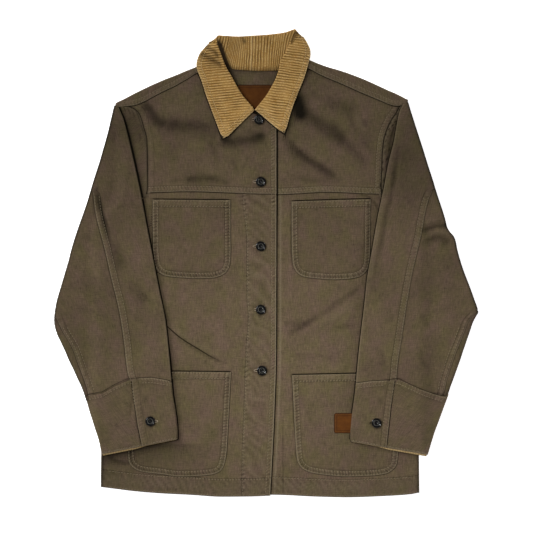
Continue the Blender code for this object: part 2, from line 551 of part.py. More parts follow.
def collar():
    """stations set close enough for the wales, each a section from the neck seam over the fold to the outer edge;
    the wales stand on the outside of a plain inside"""
    middle = (COLLAR[:, 3:5] + COLLAR[:, 7:9]) / 2 * 0.6 + COLLAR[:, 3:5] * 0.4
    length = np.concatenate([[0], np.cumsum(np.linalg.norm(np.diff(middle, axis=0), axis=1))])
    wales = int(round(length[-1] / WALE))
    at = np.interp(np.linspace(0, length[-1], 2 * wales + 1), length, np.arange(len(COLLAR)))
    table = spline(COLLAR, at)
    neck, fold, side, edge = table[:, 0:3], table[:, 3:6], table[:, 6], table[:, 7:10]

    def unit(v):
        flat = v * [1, 1, 0]
        return flat / np.linalg.norm(flat, axis=1)[:, None]

    to_neck = unit(neck - fold)
    to_edge = unit(edge - fold)
    up = np.array([0, 0, 1.0])
    side = side[:, None]
    radius = 2.1
    below = fold + to_neck * radius * 1.1 - up * side * radius - up * (1 - np.abs(side)) * 0.9
    above = fold + to_edge * radius * 1.1 + up * side * radius - up * (1 - np.abs(side)) * 0.9
    corner_b = fold + to_neck * radius * 0.3 - up * side * radius * 0.72 - up * (1 - np.abs(side)) * 0.15
    corner_a = fold + to_edge * radius * 0.3 + up * side * radius * 0.72 - up * (1 - np.abs(side)) * 0.15
    line = [neck]
    rise = neck + (below - neck) * 0.3
    rise[:, 2] = neck[:, 2] + (below[:, 2] - neck[:, 2]) * 0.95
    line += [rise, below, corner_b, fold, corner_a, above]
    for part in (0.5, 1.0):
        line.append(above + (edge - above) * part)
    grid = np.stack(line, 1)
    run = np.gradient(grid, axis=0)
    over = np.gradient(grid, axis=1)
    normal = np.cross(run, over)
    normal /= np.linalg.norm(normal, axis=2)[:, :, None]
    ridge = np.where(np.arange(len(at)) % 2, CORD_RISE, -CORD_RISE)
    fade = np.ones(grid.shape[1])
    outer = grid + normal * (ridge[:, None] * fade[None, :])[:, :, None]
    thin = 0.45 * smooth(2.2 - 2.2 * np.abs(table[:, 6]))
    inner = grid - normal * (CORD_WALL - thin)[:, None, None]
    obj = loft("collar", outer, inner, CORD)
    work = bmesh.new()
    work.from_mesh(obj.data)
    work.verts.ensure_lookup_table()
    half = {"right": [], "left": []}
    for face in work.faces:
        station = min(v.index % (grid.shape[0] * grid.shape[1]) for v in face.verts) // grid.shape[1]
        half["right" if station < len(at) / 2 else "left"].append(face)
    for name, ((px, py), (dx, dy)) in COLLAR_CUTS.items():
        away = np.array([dy, -dx, 0.0]) if dx > 0 else np.array([-dy, dx, 0.0])
        faces = half[name]
        geom = list({v for f in faces for v in f.verts}) + list({e for f in faces for e in f.edges}) + faces
        bmesh.ops.bisect_plane(work, geom=geom, dist=1e-7, plane_co=(px * MM, py * MM, 0),
                               plane_no=away, clear_outer=True)
        edges = [e for e in work.edges if e.is_boundary]
        bmesh.ops.holes_fill(work, edges=edges, sides=0)
    bmesh.ops.remove_doubles(work, verts=work.verts[:], dist=2e-5)
    work.to_mesh(obj.data)
    work.free()
    return obj


for old in list(bpy.data.objects):
    bpy.data.objects.remove(old)
JACKET = bpy.data.collections.new("chore_jacket")
bpy.context.scene.collection.children.link(JACKET)
TWILL = material("olive twill", (0.105, 0.080, 0.048), 0.9)
CORD = material("tan corduroy", (0.40, 0.25, 0.09), 0.9)
HORN = material("black button", (0.012, 0.012, 0.014), 0.35)
LEATHER = material("brown leather", (0.20, 0.055, 0.008), 0.6)

back()
back_yoke()
for wearer_side in ("right", "left"):
    front(wearer_side)
    yoke(wearer_side)
    sleeve(wearer_side)
    cuff(wearer_side)
for pocket_name in POCKETS:
    pocket(pocket_name)
patch("pocket_label", POCKET_LABEL, UNDER_TOP + LAP + GAP + 1.0, 1.0, LEATHER)
patch("neck_label", NECK_LABEL, WALL + GAP + 0.8, 0.8, LEATHER)
collar()
for number, (bx, by) in enumerate(BUTTONS):
    button("button_%d" % (number + 1), bx, by, FRONT_TOP + PLACKET_RISE + GAP + (0.6 if number == 1 else 0))
for cuff_name, (bx, by) in CUFF_BUTTONS.items():
    cuff_side = cuff_name.split("_")[-1]
    rest = float(rest_height(cuff_side, np.array(float(bx)), np.array(float(by))))
    button(cuff_name, bx, by, rest + GAP + SLEEVE_THICK + LAP + GAP)
for obj in JACKET.objects:
    tidy(obj)
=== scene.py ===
import bpy
import bmesh
import numpy as np
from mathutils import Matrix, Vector


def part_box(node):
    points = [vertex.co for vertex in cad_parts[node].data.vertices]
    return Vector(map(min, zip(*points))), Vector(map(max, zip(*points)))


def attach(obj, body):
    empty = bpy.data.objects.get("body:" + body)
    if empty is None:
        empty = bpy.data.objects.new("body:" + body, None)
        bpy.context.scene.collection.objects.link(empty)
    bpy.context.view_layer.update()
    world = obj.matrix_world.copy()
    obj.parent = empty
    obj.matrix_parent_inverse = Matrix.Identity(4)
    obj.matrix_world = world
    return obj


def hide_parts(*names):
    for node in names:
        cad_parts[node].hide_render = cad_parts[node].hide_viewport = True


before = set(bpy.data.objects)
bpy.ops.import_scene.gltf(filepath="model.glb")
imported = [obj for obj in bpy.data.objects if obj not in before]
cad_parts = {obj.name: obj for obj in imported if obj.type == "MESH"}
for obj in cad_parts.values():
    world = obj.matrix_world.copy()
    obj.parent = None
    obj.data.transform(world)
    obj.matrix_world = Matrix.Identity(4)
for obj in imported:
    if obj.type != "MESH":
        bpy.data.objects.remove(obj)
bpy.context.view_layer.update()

mm = 0.001

# the body lying on its back, sizes in millimetres from the middle of the jacket
body = {
    "frontTop": 6.0, "underTop": 5.4, "placketRise": 0.6, "placketSink": 1.8, "roll": 3.0, "sideTurn": 12.0,
    "lap": 1.3, "gap": 0.3,
    # y, x of the right side fold, x of the left side fold
    "sides": np.array([(-400, -285.5, 263.5), (-300, -284.5, 262.5), (-150, -283, 261), (0, -281.5, 259.5),
                       (59, -281, 259)]),
    "hemRight": np.array([(-290, -385), (-285, -385.5), (-229, -392.5), (-188, -396), (-131, -399),
                          (-76, -402.3), (-28, -401.8), (6, -400.5), (20, -400)]),
    "hemLeft": np.array([(-40, -399), (8, -399), (32, -399.5), (84, -402), (137, -403.2), (212, -400.6),
                         (247, -398), (263, -395), (268, -394)]),
    "placket": np.array([(-402, 6), (-328, 10), (-240, 14), (-150, 16.5), (130, 17), (262, 17)]),
    "underEdge": np.array([(-402, -36), (262, -35)]),
    # y, x of the stitch line that holds the button facing
    "facing": np.array([(-400, -41), (-328, -40.5), (-240, -37), (-152, -34), (-87, -30), (-64, -32),
                        (42, -33), (119, -40), (262, -42)]),
    # y, x right, x left of the armhole seams
    "armhole": np.array([(59, -281, 259), (77, -252, 233), (101, -223, 209), (119, -206, 198),
                         (130, -204, 197), (168, -204, 198), (209, -205, 201), (235, -211, 209),
                         (250, -215.5, 217), (258, -219, 223), (265, -226, 226), (270, -237, 229),
                         (273, -250, 232)]),
    "topRight": np.array([(-256, 272), (-250, 273), (-229, 277), (-217, 280), (-180, 302), (-123, 332),
                          (-96, 343), (-91, 341), (-88, 335), (-81, 314), (-64, 288.5), (-36, 263.5),
                          (-28, 259), (-20, 256.5), (-12, 253), (-5, 250), (17, 249)]),
    "topLeft": np.array([(-35, 251), (-4, 254), (14, 266), (35, 286), (47, 313), (50.5, 336), (57, 344),
                         (66, 338), (84, 331), (127, 314), (178, 292), (223, 275), (232, 274), (238, 273)]),
    "seamRight": np.array([(-230, 120), (-216, 120.5), (-135, 123), (4, 119), (20, 119)]),
    "seamLeft": np.array([(-40, 118), (17, 118), (104, 122), (197, 119), (220, 119)]),
    # x, y of the shoulder fold, y of the lower edge of the back yoke's strip
    "shoulderRight": np.array([(-262, 273, 266), (-258, 276.5, 267.5), (-250, 280, 269), (-229, 291, 271),
                               (-217, 297, 275), (-180, 314, 294), (-157, 323, 305), (-138, 331, 316),
                               (-123, 337, 325), (-88, 352.5, 341)]),
    "shoulderLeft": np.array([(53, 359, 341), (78, 348, 332), (89, 343.5, 326), (104, 338, 319),
                              (128, 331, 309), (166, 317, 292), (195, 304, 280), (209, 297.5, 274),
                              (223, 291.5, 270), (232, 287, 271), (242, 281.5, 273)]),
    # the collar's folds beside the opening
    "neckRight": [(-12, 247), (-24, 268), (-43, 291), (-60, 321), (-71, 340), (-78, 356)],
    "neckLeft": [(-14, 268), (2, 292), (17, 320), (24, 345), (34, 366)],
    "backNeck": np.array([(-88, 349.5), (-72, 337.5), (-65, 334), (-58, 332.8), (-45, 332.4), (-20, 332.4),
                          (6, 332.4), (18, 333), (26, 334), (37, 340.5), (53, 356)]),
}

# creases that were pressed or slept in: points, height, half width on the left of its run, on the right, fade
creases = {
    "sharp": [(-180, -101), (-171, -109), (-149, -128), (-114, -150), (-94, -162), (-75, -170), (-58, -176)],
    "right": [
        ([(-222, 274), (-204, 270), (-194, 259), (-189, 244), (-184, 224)], -1.5, 7, 9, 0.3),
        ([(-196, 243), (-157, 238), (-123, 237), (-84, 234)], -1.35, 9, 13, 0.35),
        ([(-183, 259), (-149, 261), (-106, 257)], 0.8, 11, 11, 0.4),
        ([(-100, 216), (-92, 197), (-83, 180), (-73, 159)], -0.8, 6, 8, 0.4),
        ([(-66, 185), (-57, 171), (-49, 154)], -0.6, 5, 6, 0.4),
        ([(-197, 139), (-149, 142), (-106, 147), (-66, 152)], -0.7, 7, 7, 0.3),
        ([(-45, 229), (-25, 224), (-1, 219), (13, 217)], -1.1, 5, 6, 0.35),
        ([(-8, 157), (3, 149), (13, 140)], -0.8, 3, 4, 0.35),
        ([(-178, -103), (-171, -109), (-149, -128), (-114, -152), (-94, -163), (-75, -171), (-52, -180)],
         -1.5, 1.6, 3.2, 0.3),
        ([(-172, -104), (-146, -123), (-112, -146), (-92, -157), (-70, -167)], 1.1, 5, 5, 0.3),
        ([(-169, 87), (-155, 70), (-138, 59)], -0.6, 7, 9, 0.4),
        ([(-100, 30), (-85, -10), (-80, -60)], -0.35, 12, 16, 0.4),
        ([(-50, 60), (-52, -20), (-46, -110)], -0.4, 6, 8, 0.4),
        ([(-150, -250), (-130, -300), (-120, -340)], 0.4, 14, 18, 0.4),
        ([(-20, 95), (-14, 60)], 0.4, 5, 6, 0.4),
        ([(-160, 205), (-120, 190), (-70, 200)], 0.5, 12, 12, 0.4),
        ([(-278, -330), (-258, -341), (-228, -347)], -1.0, 3.5, 5, 0.3),
        ([(-282, -352), (-262, -358), (-244, -360)], 0.8, 4, 5, 0.35),
        ([(-70, -388), (-48, -392), (-24, -389)], -0.5, 4, 5, 0.35),
        ([(-196, -384), (-160, -390), (-120, -392)], -0.4, 4, 5, 0.4),
    ],
    "left": [
        ([(60, 266), (72, 262), (92, 246)], -0.9, 9, 9, 0.4),
        ([(180, -30), (175, -37), (139, -59), (101, -85), (61, -111), (23, -133)], -0.9, 6, 8, 0.22),
        ([(172, -58), (135, -82), (104, -103), (70, -124)], 0.9, 7, 7, 0.35),
        ([(21, -102), (54, -104), (87, -101)], -0.7, 5, 7, 0.35),
        ([(105, -113), (135, -109), (164, -106)], -0.8, 5, 7, 0.35),
        ([(22, -159), (84, -162), (150, -163)], -0.5, 8, 9, 0.35),
        ([(28, 216), (34, 210), (58, 189), (85, 170), (109, 154), (126, 142)], -1.7, 8, 11, 0.22),
        ([(40, 212), (66, 196), (92, 178), (112, 162)], 0.9, 7, 7, 0.35),
        ([(72, 255), (103, 242), (130, 224)], -1.0, 6, 9, 0.35),
        ([(148, 270), (151, 264), (164, 238), (174, 210), (178, 196)], 1.3, 4, 5, 0.3),
        ([(140, 262), (150, 240), (160, 214)], -1.0, 4, 6, 0.35),
        ([(160, 258), (175, 232), (184, 208)], -0.7, 4, 5, 0.35),
        ([(73, 294), (92, 287), (118, 291)], -0.9, 5, 6, 0.35),
        ([(150, 116), (166, 116), (180, 112), (190, 100), (196, 86)], -1.1, 1.8, 3, 0.3),
        ([(27, 140), (58, 146), (89, 141)], -0.5, 6, 7, 0.35),
        ([(30, 60), (34, -10), (30, -80)], -0.4, 5, 6, 0.4),
        ([(80, -20), (70, -70), (40, -80)], 0.5, 12, 14, 0.4),
        ([(60, -215), (56, -270), (62, -330)], -0.5, 6, 7, 0.4),
        ([(110, 70), (150, 40), (160, 10)], 0.4, 12, 14, 0.4),
    ],
    # soft painted shade on the yokes: points, strength, half widths, fade
    "duskRight": [
        ([(-216, 276), (-202, 264), (-190, 247), (-172, 236)], 0.45, 9, 11, 0.15),
        ([(-192, 240), (-150, 236), (-121, 234), (-76, 226)], 0.42, 15, 18, 0.12),
        ([(-84, 213), (-58, 209), (-29, 212), (3, 222)], 0.62, 9, 11, 0.16),
        ([(-144, 140), (-118, 146), (-96, 146), (-58, 136)], 0.42, 6, 9, 0.15),
        ([(-100, 214), (-92, 200), (-82, 186)], 0.3, 5, 5, 0.35),
        ([(-58, 182), (-54, 168), (-50, 152)], 0.28, 3.5, 4, 0.35),
        ([(-196, 200), (-150, 196), (-110, 202)], 0.12, 16, 16, 0.4),
        ([(-292, -328), (-262, -334), (-236, -340)], 1.0, 8, 13, 0.2),
        ([(-272, -348), (-250, -352), (-226, -353)], 0.6, 4, 6, 0.3),
    ],
    "duskLeft": [
        ([(24, 226), (32, 217), (60, 187), (94, 165), (134, 137)], 0.33, 6, 8, 0.22),
        ([(60, 262), (80, 246), (100, 230), (140, 206)], 0.42, 12, 12, 0.15),
        ([(46, 296), (56, 278), (57, 262), (48, 240)], 1.05, 12, 11, 0.3),
        ([(108, 250), (134, 211), (164, 177), (174, 160)], 0.3, 8, 10, 0.2),
        ([(96, 282), (130, 268), (160, 262)], 0.3, 12, 12, 0.2),
        ([(36, 150), (80, 142), (130, 140)], 0.2, 6, 6, 0.4),
        ([(160, 236), (172, 206), (182, 180)], 0.22, 5, 6, 0.35),
    ],
    "sleeveRight": [
        ([(-296, 140), (-291, 120), (-281, 83), (-269, 42), (-262, 20)], -1.6, 4, 7, 0.3),
        ([(-268, 48), (-250, 4), (-231, -28)], -1.05, 12, 17, 0.45),
        ([(-242, -24), (-220, -48), (-196, -84)], -1.05, 12, 17, 0.45),
        ([(-214, 20), (-198, -10), (-188, -50)], 0.7, 7, 8, 0.4),
        ([(-336, -120), (-328, -160), (-316, -205)], -0.7, 5, 7, 0.4),
        ([(-310, -90), (-290, -140), (-285, -190)], 0.7, 14, 16, 0.4),
        ([(-330, 0), (-300, -40), (-290, -90)], -0.5, 16, 18, 0.4),
        ([(-256, 200), (-250, 150), (-240, 90)], 0.6, 8, 9, 0.4),
        ([(-229, -228), (-231, -250), (-234, -276)], -1.1, 2.5, 4, 0.35),
        ([(-262, 235), (-262, 190)], -0.5, 4, 6, 0.4),
    ],
    "sleeveLeft": [
        ([(262, 54), (268, 56), (290, 62), (308, 65), (322, 67)], -1.5, 4.5, 6.5, 0.2),
        ([(262, 66), (285, 74), (304, 80)], 1.0, 7, 7, 0.4),
        ([(262, 34), (280, 40), (298, 43), (324, 26)], -1.1, 6, 9, 0.3),
        ([(276, 50), (300, 53), (318, 49)], 1.3, 5, 5, 0.35),
        ([(264, -80), (272, -94), (281, -118)], -0.9, 7, 9, 0.4),
        ([(226, 230), (219, 204), (206, 125), (192, 56), (180, -20), (173, -64)], 1.3, 4.5, 5, 0.2),
        ([(232, 222), (228, 200), (216, 125), (202, 56), (190, -20)], -1.0, 4.5, 7, 0.25),
        ([(318, -165), (331, -133), (345, -100)], 0.9, 7, 8, 0.4),
        ([(300, -30), (320, -60), (318, -100)], -0.6, 14, 16, 0.4),
        ([(250, 190), (252, 150), (246, 100)], 0.6, 12, 14, 0.4),
        ([(188, -130), (200, -160), (204, -192)], -0.7, 6, 8, 0.4),
        ([(290, -190), (270, -170), (262, -140)], -0.6, 8, 9, 0.4),
    ],
}

# 0 below 0, 1 above 1, and a smooth step between
def glide(value):
    value = np.clip(value, 0.0, 1.0)
    return value * value * (3 - 2 * value)


# bell across a line: 1 on it, about a third at the distance wide
def bell(far, wide):
    return np.exp(-(far / wide) ** 2)


# 1 up to an edge and fading beyond it, to about a third at the distance soft
def fade(far, soft):
    return np.exp(-np.maximum(far, 0) / soft)


# even wave from -1 to 1, one for each turn
def wave(turns):
    return np.cos(2 * np.pi * turns)


# smooth curve through a table that never swings past its points: cubic pieces with harmonic slopes
def through(at, keys, values):
    keys, values = np.asarray(keys, float), np.asarray(values, float)
    gap = np.diff(keys)
    rise = np.diff(values) / gap
    slope = np.empty_like(values)
    slope[0], slope[-1] = rise[0], rise[-1]
    a, b = 2 * gap[1:] + gap[:-1], gap[1:] + 2 * gap[:-1]
    same = rise[:-1] * rise[1:] > 0
    one, two = np.where(same, rise[:-1], 1), np.where(same, rise[1:], 1)
    slope[1:-1] = np.where(same, (a + b) / (a / one + b / two), 0)
    at = np.clip(at, keys[0], keys[-1])
    i = np.clip(np.searchsorted(keys, at, side="right") - 1, 0, len(keys) - 2)
    t = (at - keys[i]) / gap[i]
    return ((2 * t**3 - 3 * t**2 + 1) * values[i] + (t**3 - 2 * t**2 + t) * gap[i] * slope[i]
            + (3 * t**2 - 2 * t**3) * values[i + 1] + (t**3 - t**2) * gap[i] * slope[i + 1])


# a column of a table, read at the places key of its first column
def column(table, key, value=1):
    return through(key, table[:, 0], table[:, value])


# length along a line up to each of its points
def runOf(points):
    step = np.diff(points, axis=0)
    size = np.hypot(*step.T) if step.shape[1] == 2 else np.linalg.norm(step, axis=1)
    return np.concatenate([[0], np.cumsum(size)])


# length along every row of a grid of points
def rowLengths(points):
    step = np.linalg.norm(np.diff(points, axis=1), axis=2)
    return np.concatenate([np.zeros((len(points), 1)), np.cumsum(step, 1)], 1)


# a smooth line of count points through a few, each coordinate a curve on the running length
def bend(points, count=28):
    points = np.asarray(points, float)
    run = runOf(points[:, :2])
    at = np.linspace(0, run[-1], count)
    return np.stack([through(at, run, points[:, i]) for i in range(points.shape[1])], -1)


# distance from the line, on its left positive, the share of its length there, and the length up to there
def nearLine(x, y, line):
    x, y = np.asarray(x, float), np.asarray(y, float)
    best = np.full(x.shape, 1e9)
    signed, run = np.zeros(x.shape), np.zeros(x.shape)
    step = np.hypot(*np.diff(line, axis=0).T)
    start = runOf(line)
    for (ax, ay), (bx, by), long, begin in zip(line[:-1], line[1:], step, start):
        ux, uy = (bx - ax) / long, (by - ay) / long
        t = np.clip((x - ax) * ux + (y - ay) * uy, 0, long)
        dx, dy = x - ax - t * ux, y - ay - t * uy
        far = np.hypot(dx, dy)
        nearer = far < best
        best = np.where(nearer, far, best)
        signed = np.where(nearer, np.where(ux * dy - uy * dx >= 0, far, -far), signed)
        run = np.where(nearer, begin + t, run)
    return signed, run / start[-1], run


# which places lie in the box round a line, widened by reach
def around(x, y, line, reach):
    (x0, y0), (x1, y1) = line.min(0), line.max(0)
    return (x > x0 - reach) & (x < x1 + reach) & (y > y0 - reach) & (y < y1 + reach)


# smooth uneven field from -1 to 1: random corners of a square lattice, eased between
def rumple(x, y, size, seed):
    corners = np.random.default_rng(seed).uniform(-1, 1, (64, 64))
    gx, gy = np.asarray(x) / size + 200.0, np.asarray(y) / size + 200.0
    ix, iy = np.floor(gx).astype(int), np.floor(gy).astype(int)
    fx, fy = glide(gx - ix), glide(gy - iy)
    low = corners[ix % 64, iy % 64] * (1 - fx) + corners[(ix + 1) % 64, iy % 64] * fx
    high = corners[ix % 64, (iy + 1) % 64] * (1 - fx) + corners[(ix + 1) % 64, (iy + 1) % 64] * fx
    return low * (1 - fy) + high * fy


# sum of the creases of a table: each a bell across its line, wider on one side, that fades towards both ends
def creased(x, y, table, strength=1.75):
    total = np.zeros(np.shape(x))
    for points, height, leftWide, rightWide, soft in table:
        line = bend(points, 14)
        near = around(x, y, line, 3 * max(leftWide, rightWide))
        if not near.any():
            continue
        far, share, run = nearLine(x[near], y[near], line)
        wide = np.where(far > 0, leftWide, rightWide)
        uneven = 1 + 0.25 * rumple(run, run * 0, 17, int(abs(points[0][0]) * 7))
        total[near] += (height * strength * uneven * bell(far, wide)
                        * glide(share / soft) * glide((1 - share) / soft))
    return total


# rows of stitches: their places from the edge, how deep they pull the cloth in, how high it puckers between
# them, how far apart the puckers are, how they slant, how far they reach beyond the rows, seed
stitching = {
    "hem": ([2.0, 29.5], 0.35, 0.8, 12, 1.1, 1.5, 21),
    "placket": ([1.6, 7.8], 0.35, 0.55, 7.5, 0.5, 3, 22),
    "yokeRight": ([1.7, 9.2], 0.4, 0.6, 8, 0.4, 3, 31),
    "yokeLeft": ([1.7, 9.2], 0.4, 0.6, 8, 0.4, 3, 32),
    "armhole": ([1.6, 9.0], 0.4, 0.45, 9, 0.5, 3, 33),
    "shoulder": ([1.7, 8.8], 0.4, 0.45, 9, 0.4, 2, 43),
    "pocket": ([1.7, 8.6], 0.45, 0.55, 10.5, 0.2, 3, 0),
    "pocketMouth": ([1.7, 11.0], 0.35, 0.4, 9, 0.3, 2, 3),
    "sleeveFrontRight": ([1.6, 10.0], 0.4, 0.5, 11, 0.3, 3, 61),
    "sleeveFrontLeft": ([1.6, 10.0], 0.4, 0.5, 11, 0.3, 3, 62),
    "sleeveElbow": ([1.6, 9.2], 0.4, 0.5, 10, 0.3, 3, 63),
    "cuffTop": ([1.8, 8.4], 0.4, 0.5, 9, 0.4, 3, 82),
    "cuffEnd": ([2.4], 0.35, 0.4, 8, 0.6, 4, 83),
    "cuffLap": ([1.6, 9.6], 0.35, 0.4, 9, 0.3, 2, 84),
}


# what rows of stitches do to cloth, and where it gets rubbed: a dip along each row, and puckers that lie
# across the band between them
def sewn(far, run, name, more=0):
    rows, depth, high, pitch, slant, reach, seed = stitching[name]
    dips = sum(bell(far - row, 0.75) for row in rows)
    first, last = rows[0], rows[-1]
    middle, half = (first + last) / 2, (last - first) / 2 + reach
    band = glide(1 - np.abs(far - middle) / half)
    ripple = 0.5 + 0.5 * wave(run / pitch + slant * far / pitch
                              + 0.6 * rumple(run, far * 0.3, 3 * pitch, seed + more))
    size = 0.55 + 0.45 * rumple(run, run * 0, 31, seed + more + 5)
    height = -1.5 * depth * dips + 1.5 * high * band * (ripple - 0.35) * size * glide(far / 1.2)
    return height, 1.2 * band * ripple * size


# the rounded lip of a folded edge, far from it in millimetres
def edgeRound(far, drop=0.8, soft=0.7):
    return -drop * fade(far, soft)


# painted shadow beside an edge that lies on top, far from that edge in millimetres
def seamShade(far, soft=1.6):
    return fade(far, soft) * (far > -2.5)


# place across a painted shadow line as wide as said that lies along an edge: far from its middle, in its own
# widths
def edgeLine(far, wide):
    return (far - wide / 2) / wide


# of some places across lines, the one nearest to its line's middle
def nearest(*lines):
    best = lines[0]
    for line in lines[1:]:
        best = np.where(np.abs(line) < np.abs(best), line, best)
    return best


# what the twill reads: wear and painted highlights, painted shade and darker tone, and the place across the
# nearest painted shadow line
def clothNotes(wearAndPaintedLight, paintedShadeAndTone, gap, *bands):
    return {"wearAndPaintedLight": wearAndPaintedLight, "paintedShadeAndTone": paintedShadeAndTone, "gap": 0.5 + np.clip(gap, -10, 10) / 20,
            **(roped(*bands) if bands else {})}


# where thread pulls cloth into short ticks, and the length along the seam that counts them; a band is far,
# length, first row, last row, strength
def roped(*bands):
    rope, run, best = 0.0, 0.0, -1e9
    for far, along, first, last, strength in bands:
        window = strength * glide((far - first + 1.2) / 1.2) * glide((last + 1.4 - far) / 1.2)
        score = window - 0.001 * np.abs(far - (first + last) / 2)
        run = np.where(score > best, (along + 0.3 * far + 1000) / 2000, run)
        rope, best = np.maximum(rope, window), np.maximum(score, best)
    return {"rope": rope, "run": run}


# places from 0 to end, a step apart, closer together in the stretches (from, to, step)
def ladder(end, step, closeUps=()):
    marks = [np.arange(0, end, step), np.array([end], float)]
    for low, high, fine in closeUps:
        marks.append(np.arange(max(low, 0), min(high, end), fine))
    marks = np.unique(np.concatenate(marks))
    keep = [marks[0]]
    for mark in marks[1:]:
        if mark - keep[-1] > 0.33:
            keep.append(mark)
    keep[-1] = end
    return np.array(keep)


# tones: the pale ones are what wear and painted highlights mix towards; the twill's darkest and the
# corduroy's black what painted shade mixes towards, the corduroy's dark brown that of the painted shade in
# its grooves; the button's ring is the grey of a painted reflection
clothTones = {
    "twill": {"paintedShadeAndTone": (0.007, 0.005, 0.002), "green": (0.109, 0.085, 0.041), "brown": (0.123, 0.082, 0.056),
              "paleTone": (0.235, 0.188, 0.120), "tickPitch": 5.2},
    "corduroy": {"paintedShadeAndTone": (0.120, 0.058, 0.010), "low": (0.350, 0.187, 0.041), "base": (0.515, 0.300, 0.081),
                 "rust": (0.430, 0.200, 0.036), "paleTone": (0.840, 0.590, 0.270), "black": (0.024, 0.013, 0.004),
                 "tickPitch": 5.0},
    "leather": {"dark": (0.090, 0.027, 0.0025), "light": (0.165, 0.054, 0.005), "rim": (0.020, 0.007, 0.002)},
    "button": {"black": (0.002, 0.002, 0.0022), "smoke": (0.007, 0.0065, 0.006), "ring": (0.12, 0.118, 0.10)},
}


# an output in a node tree; a sum, difference or product with it adds a Math node
class Wire:
    def __init__(self, nodes, end):
        self.nodes = nodes
        self.end = end

    def __add__(self, other):
        return self.nodes.math("ADD", self, other)

    def __sub__(self, other):
        return self.nodes.math("SUBTRACT", self, other)

    def __mul__(self, other):
        return self.nodes.math("MULTIPLY", self, other)


# a material's node tree in short hand
class Nodes:
    def __init__(self, name):
        self.mat = bpy.data.materials.new(name)
        self.mat.use_nodes = True
        self.tree = self.mat.node_tree

    def feed(self, socket, value):
        if isinstance(value, Wire):
            self.tree.links.new(value.end, socket)
        elif socket.type == "RGBA":
            socket.default_value = (*value, 1)
        else:
            socket.default_value = value

    # a node's output; the settings name its options or its sockets
    def add(self, kind, output, settings=()):
        node = self.tree.nodes.new("ShaderNode" + kind)
        for key, value in dict(settings).items():
            if hasattr(node, key):
                setattr(node, key, value)
            else:
                self.feed(node.inputs[key], value)
        return Wire(self, node.outputs[output])

    def math(self, operation, *values):
        node = self.tree.nodes.new("ShaderNodeMath")
        node.operation = operation
        for socket, value in zip(node.inputs, values):
            self.feed(socket, value)
        return Wire(self, node.outputs[0])

    def mix(self, factor, first, second):
        node = self.tree.nodes.new("ShaderNodeMix")
        node.data_type = "RGBA"
        for socket, value in ((0, factor), (6, first), (7, second)):
            self.feed(node.inputs[socket], value)
        return Wire(self, node.outputs[2])

    # noise from about -0.5 to 0.5
    def noise(self, place, scale, detail, rough=0.6):
        return self.add("TexNoise", "Fac", {"Scale": scale, "Detail": detail, "Roughness": rough,
                                            "Vector": place}) - 0.5

    def field(self, name):
        return self.add("Attribute", "Fac", {"attribute_name": name})

    # light and dark ticks along a seam, as far apart as said, made uneven by a noise
    def ticks(self, pitch, uneven):
        count = self.field("run") * (2000 * 2 * np.pi / pitch) + uneven * 9.0
        return self.math("SINE", count) * self.field("rope")

    def bump(self, strength, distance, height):
        return self.add("Bump", 0, {"Strength": strength, "Distance": distance, "Height": height})

    # sets the shader's sockets and gives the material
    def finish(self, sockets):
        for key, value in sockets.items():
            self.feed(self.tree.nodes["Principled BSDF"].inputs[key], value)
        return self.mat


# steep twill lines and yarn on the cloth's own coordinates, slubs along both yarns, washed patches; lighter
# with wear and painted highlights, painted shade along the dark notes, the gaps' shadow lines and the sharp
# crease
def twillMaterial():
    build = Nodes("olive twill")
    tone = clothTones["twill"]
    flat = build.add("TexCoord", "UV")

    def noise(scale, stretch, detail, rough=0.6):
        return build.noise(build.add("Mapping", 0, {"Scale": (*stretch, 1), "Vector": flat}), scale, detail,
                           rough)

    # flat-topped bell across a line: e to the minus fourth power of the distance in widths
    def band(value, wide):
        square = build.math("DIVIDE", value, wide)
        square = square * square
        return build.math("POWER", 2.718, square * square * -1.0)

    turned = build.add("Mapping", 0, {"Rotation": (0, 0, np.radians(-62)), "Vector": flat})
    lines = build.add("TexWave", "Fac", {"bands_direction": "X", "Scale": 3.3, "Distortion": 0.9,
                                         "Detail": 2.0, "Detail Scale": 3.0, "Vector": turned})
    warp, weft = noise(1.0, (5.2, 0.8), 3.0), noise(1.0, (0.8, 5.2), 3.0)
    yarn, patch, cloud = noise(7.0, (1, 1), 3.0, 0.7), noise(0.42, (1, 1), 3.0), noise(0.14, (1, 1), 2.0)
    grain = 0.5
    for layer, gain in ((warp, 1.35), (weft, 1.05), (yarn, 1.2), (patch, 0.4), (cloud, 0.35)):
        grain = layer * gain + grain
    grain = grain + (lines - 0.5) * 0.16
    base = build.mix(noise(0.33, (1, 0.7), 3.0) * 3.2 + 0.5, tone["green"], tone["brown"])
    tick = build.ticks(tone["tickPitch"], patch)
    shade = grain * 0.84 + 0.58 + tick * 0.30
    colour = build.add("VectorMath", 0, {"operation": "SCALE", "Vector": base, "Scale": shade})
    colour = build.mix(build.field("wearAndPaintedLight") * (yarn * 2.2 + 0.85), colour, tone["paleTone"])
    # painted shade: the sharp crease's dark line, the shadow line beside a gap, and the dark notes
    sharp = band((build.field("line") - 0.5) * 40.0, 1.2) * build.field("creaseShadeOn")
    gap = band((build.field("gap") - 0.5) * 20.0, 0.56)
    dark = build.math("MAXIMUM", build.math("MAXIMUM", build.field("paintedShadeAndTone"), sharp), gap)
    height = lines * 0.5 + yarn * 1.2 + warp * 1.6 + weft * 1.2 + tick * 0.6
    return build.finish({
        "Base Color": build.mix(dark, colour, tone["paintedShadeAndTone"]), "Roughness": 0.88, "Specular IOR Level": 0.12,
        "Sheen Weight": 0.04, "Sheen Roughness": 0.45, "Sheen Tint": (1.0, 0.84, 0.6),
        "Normal": build.bump(0.6, 0.0005, height)})
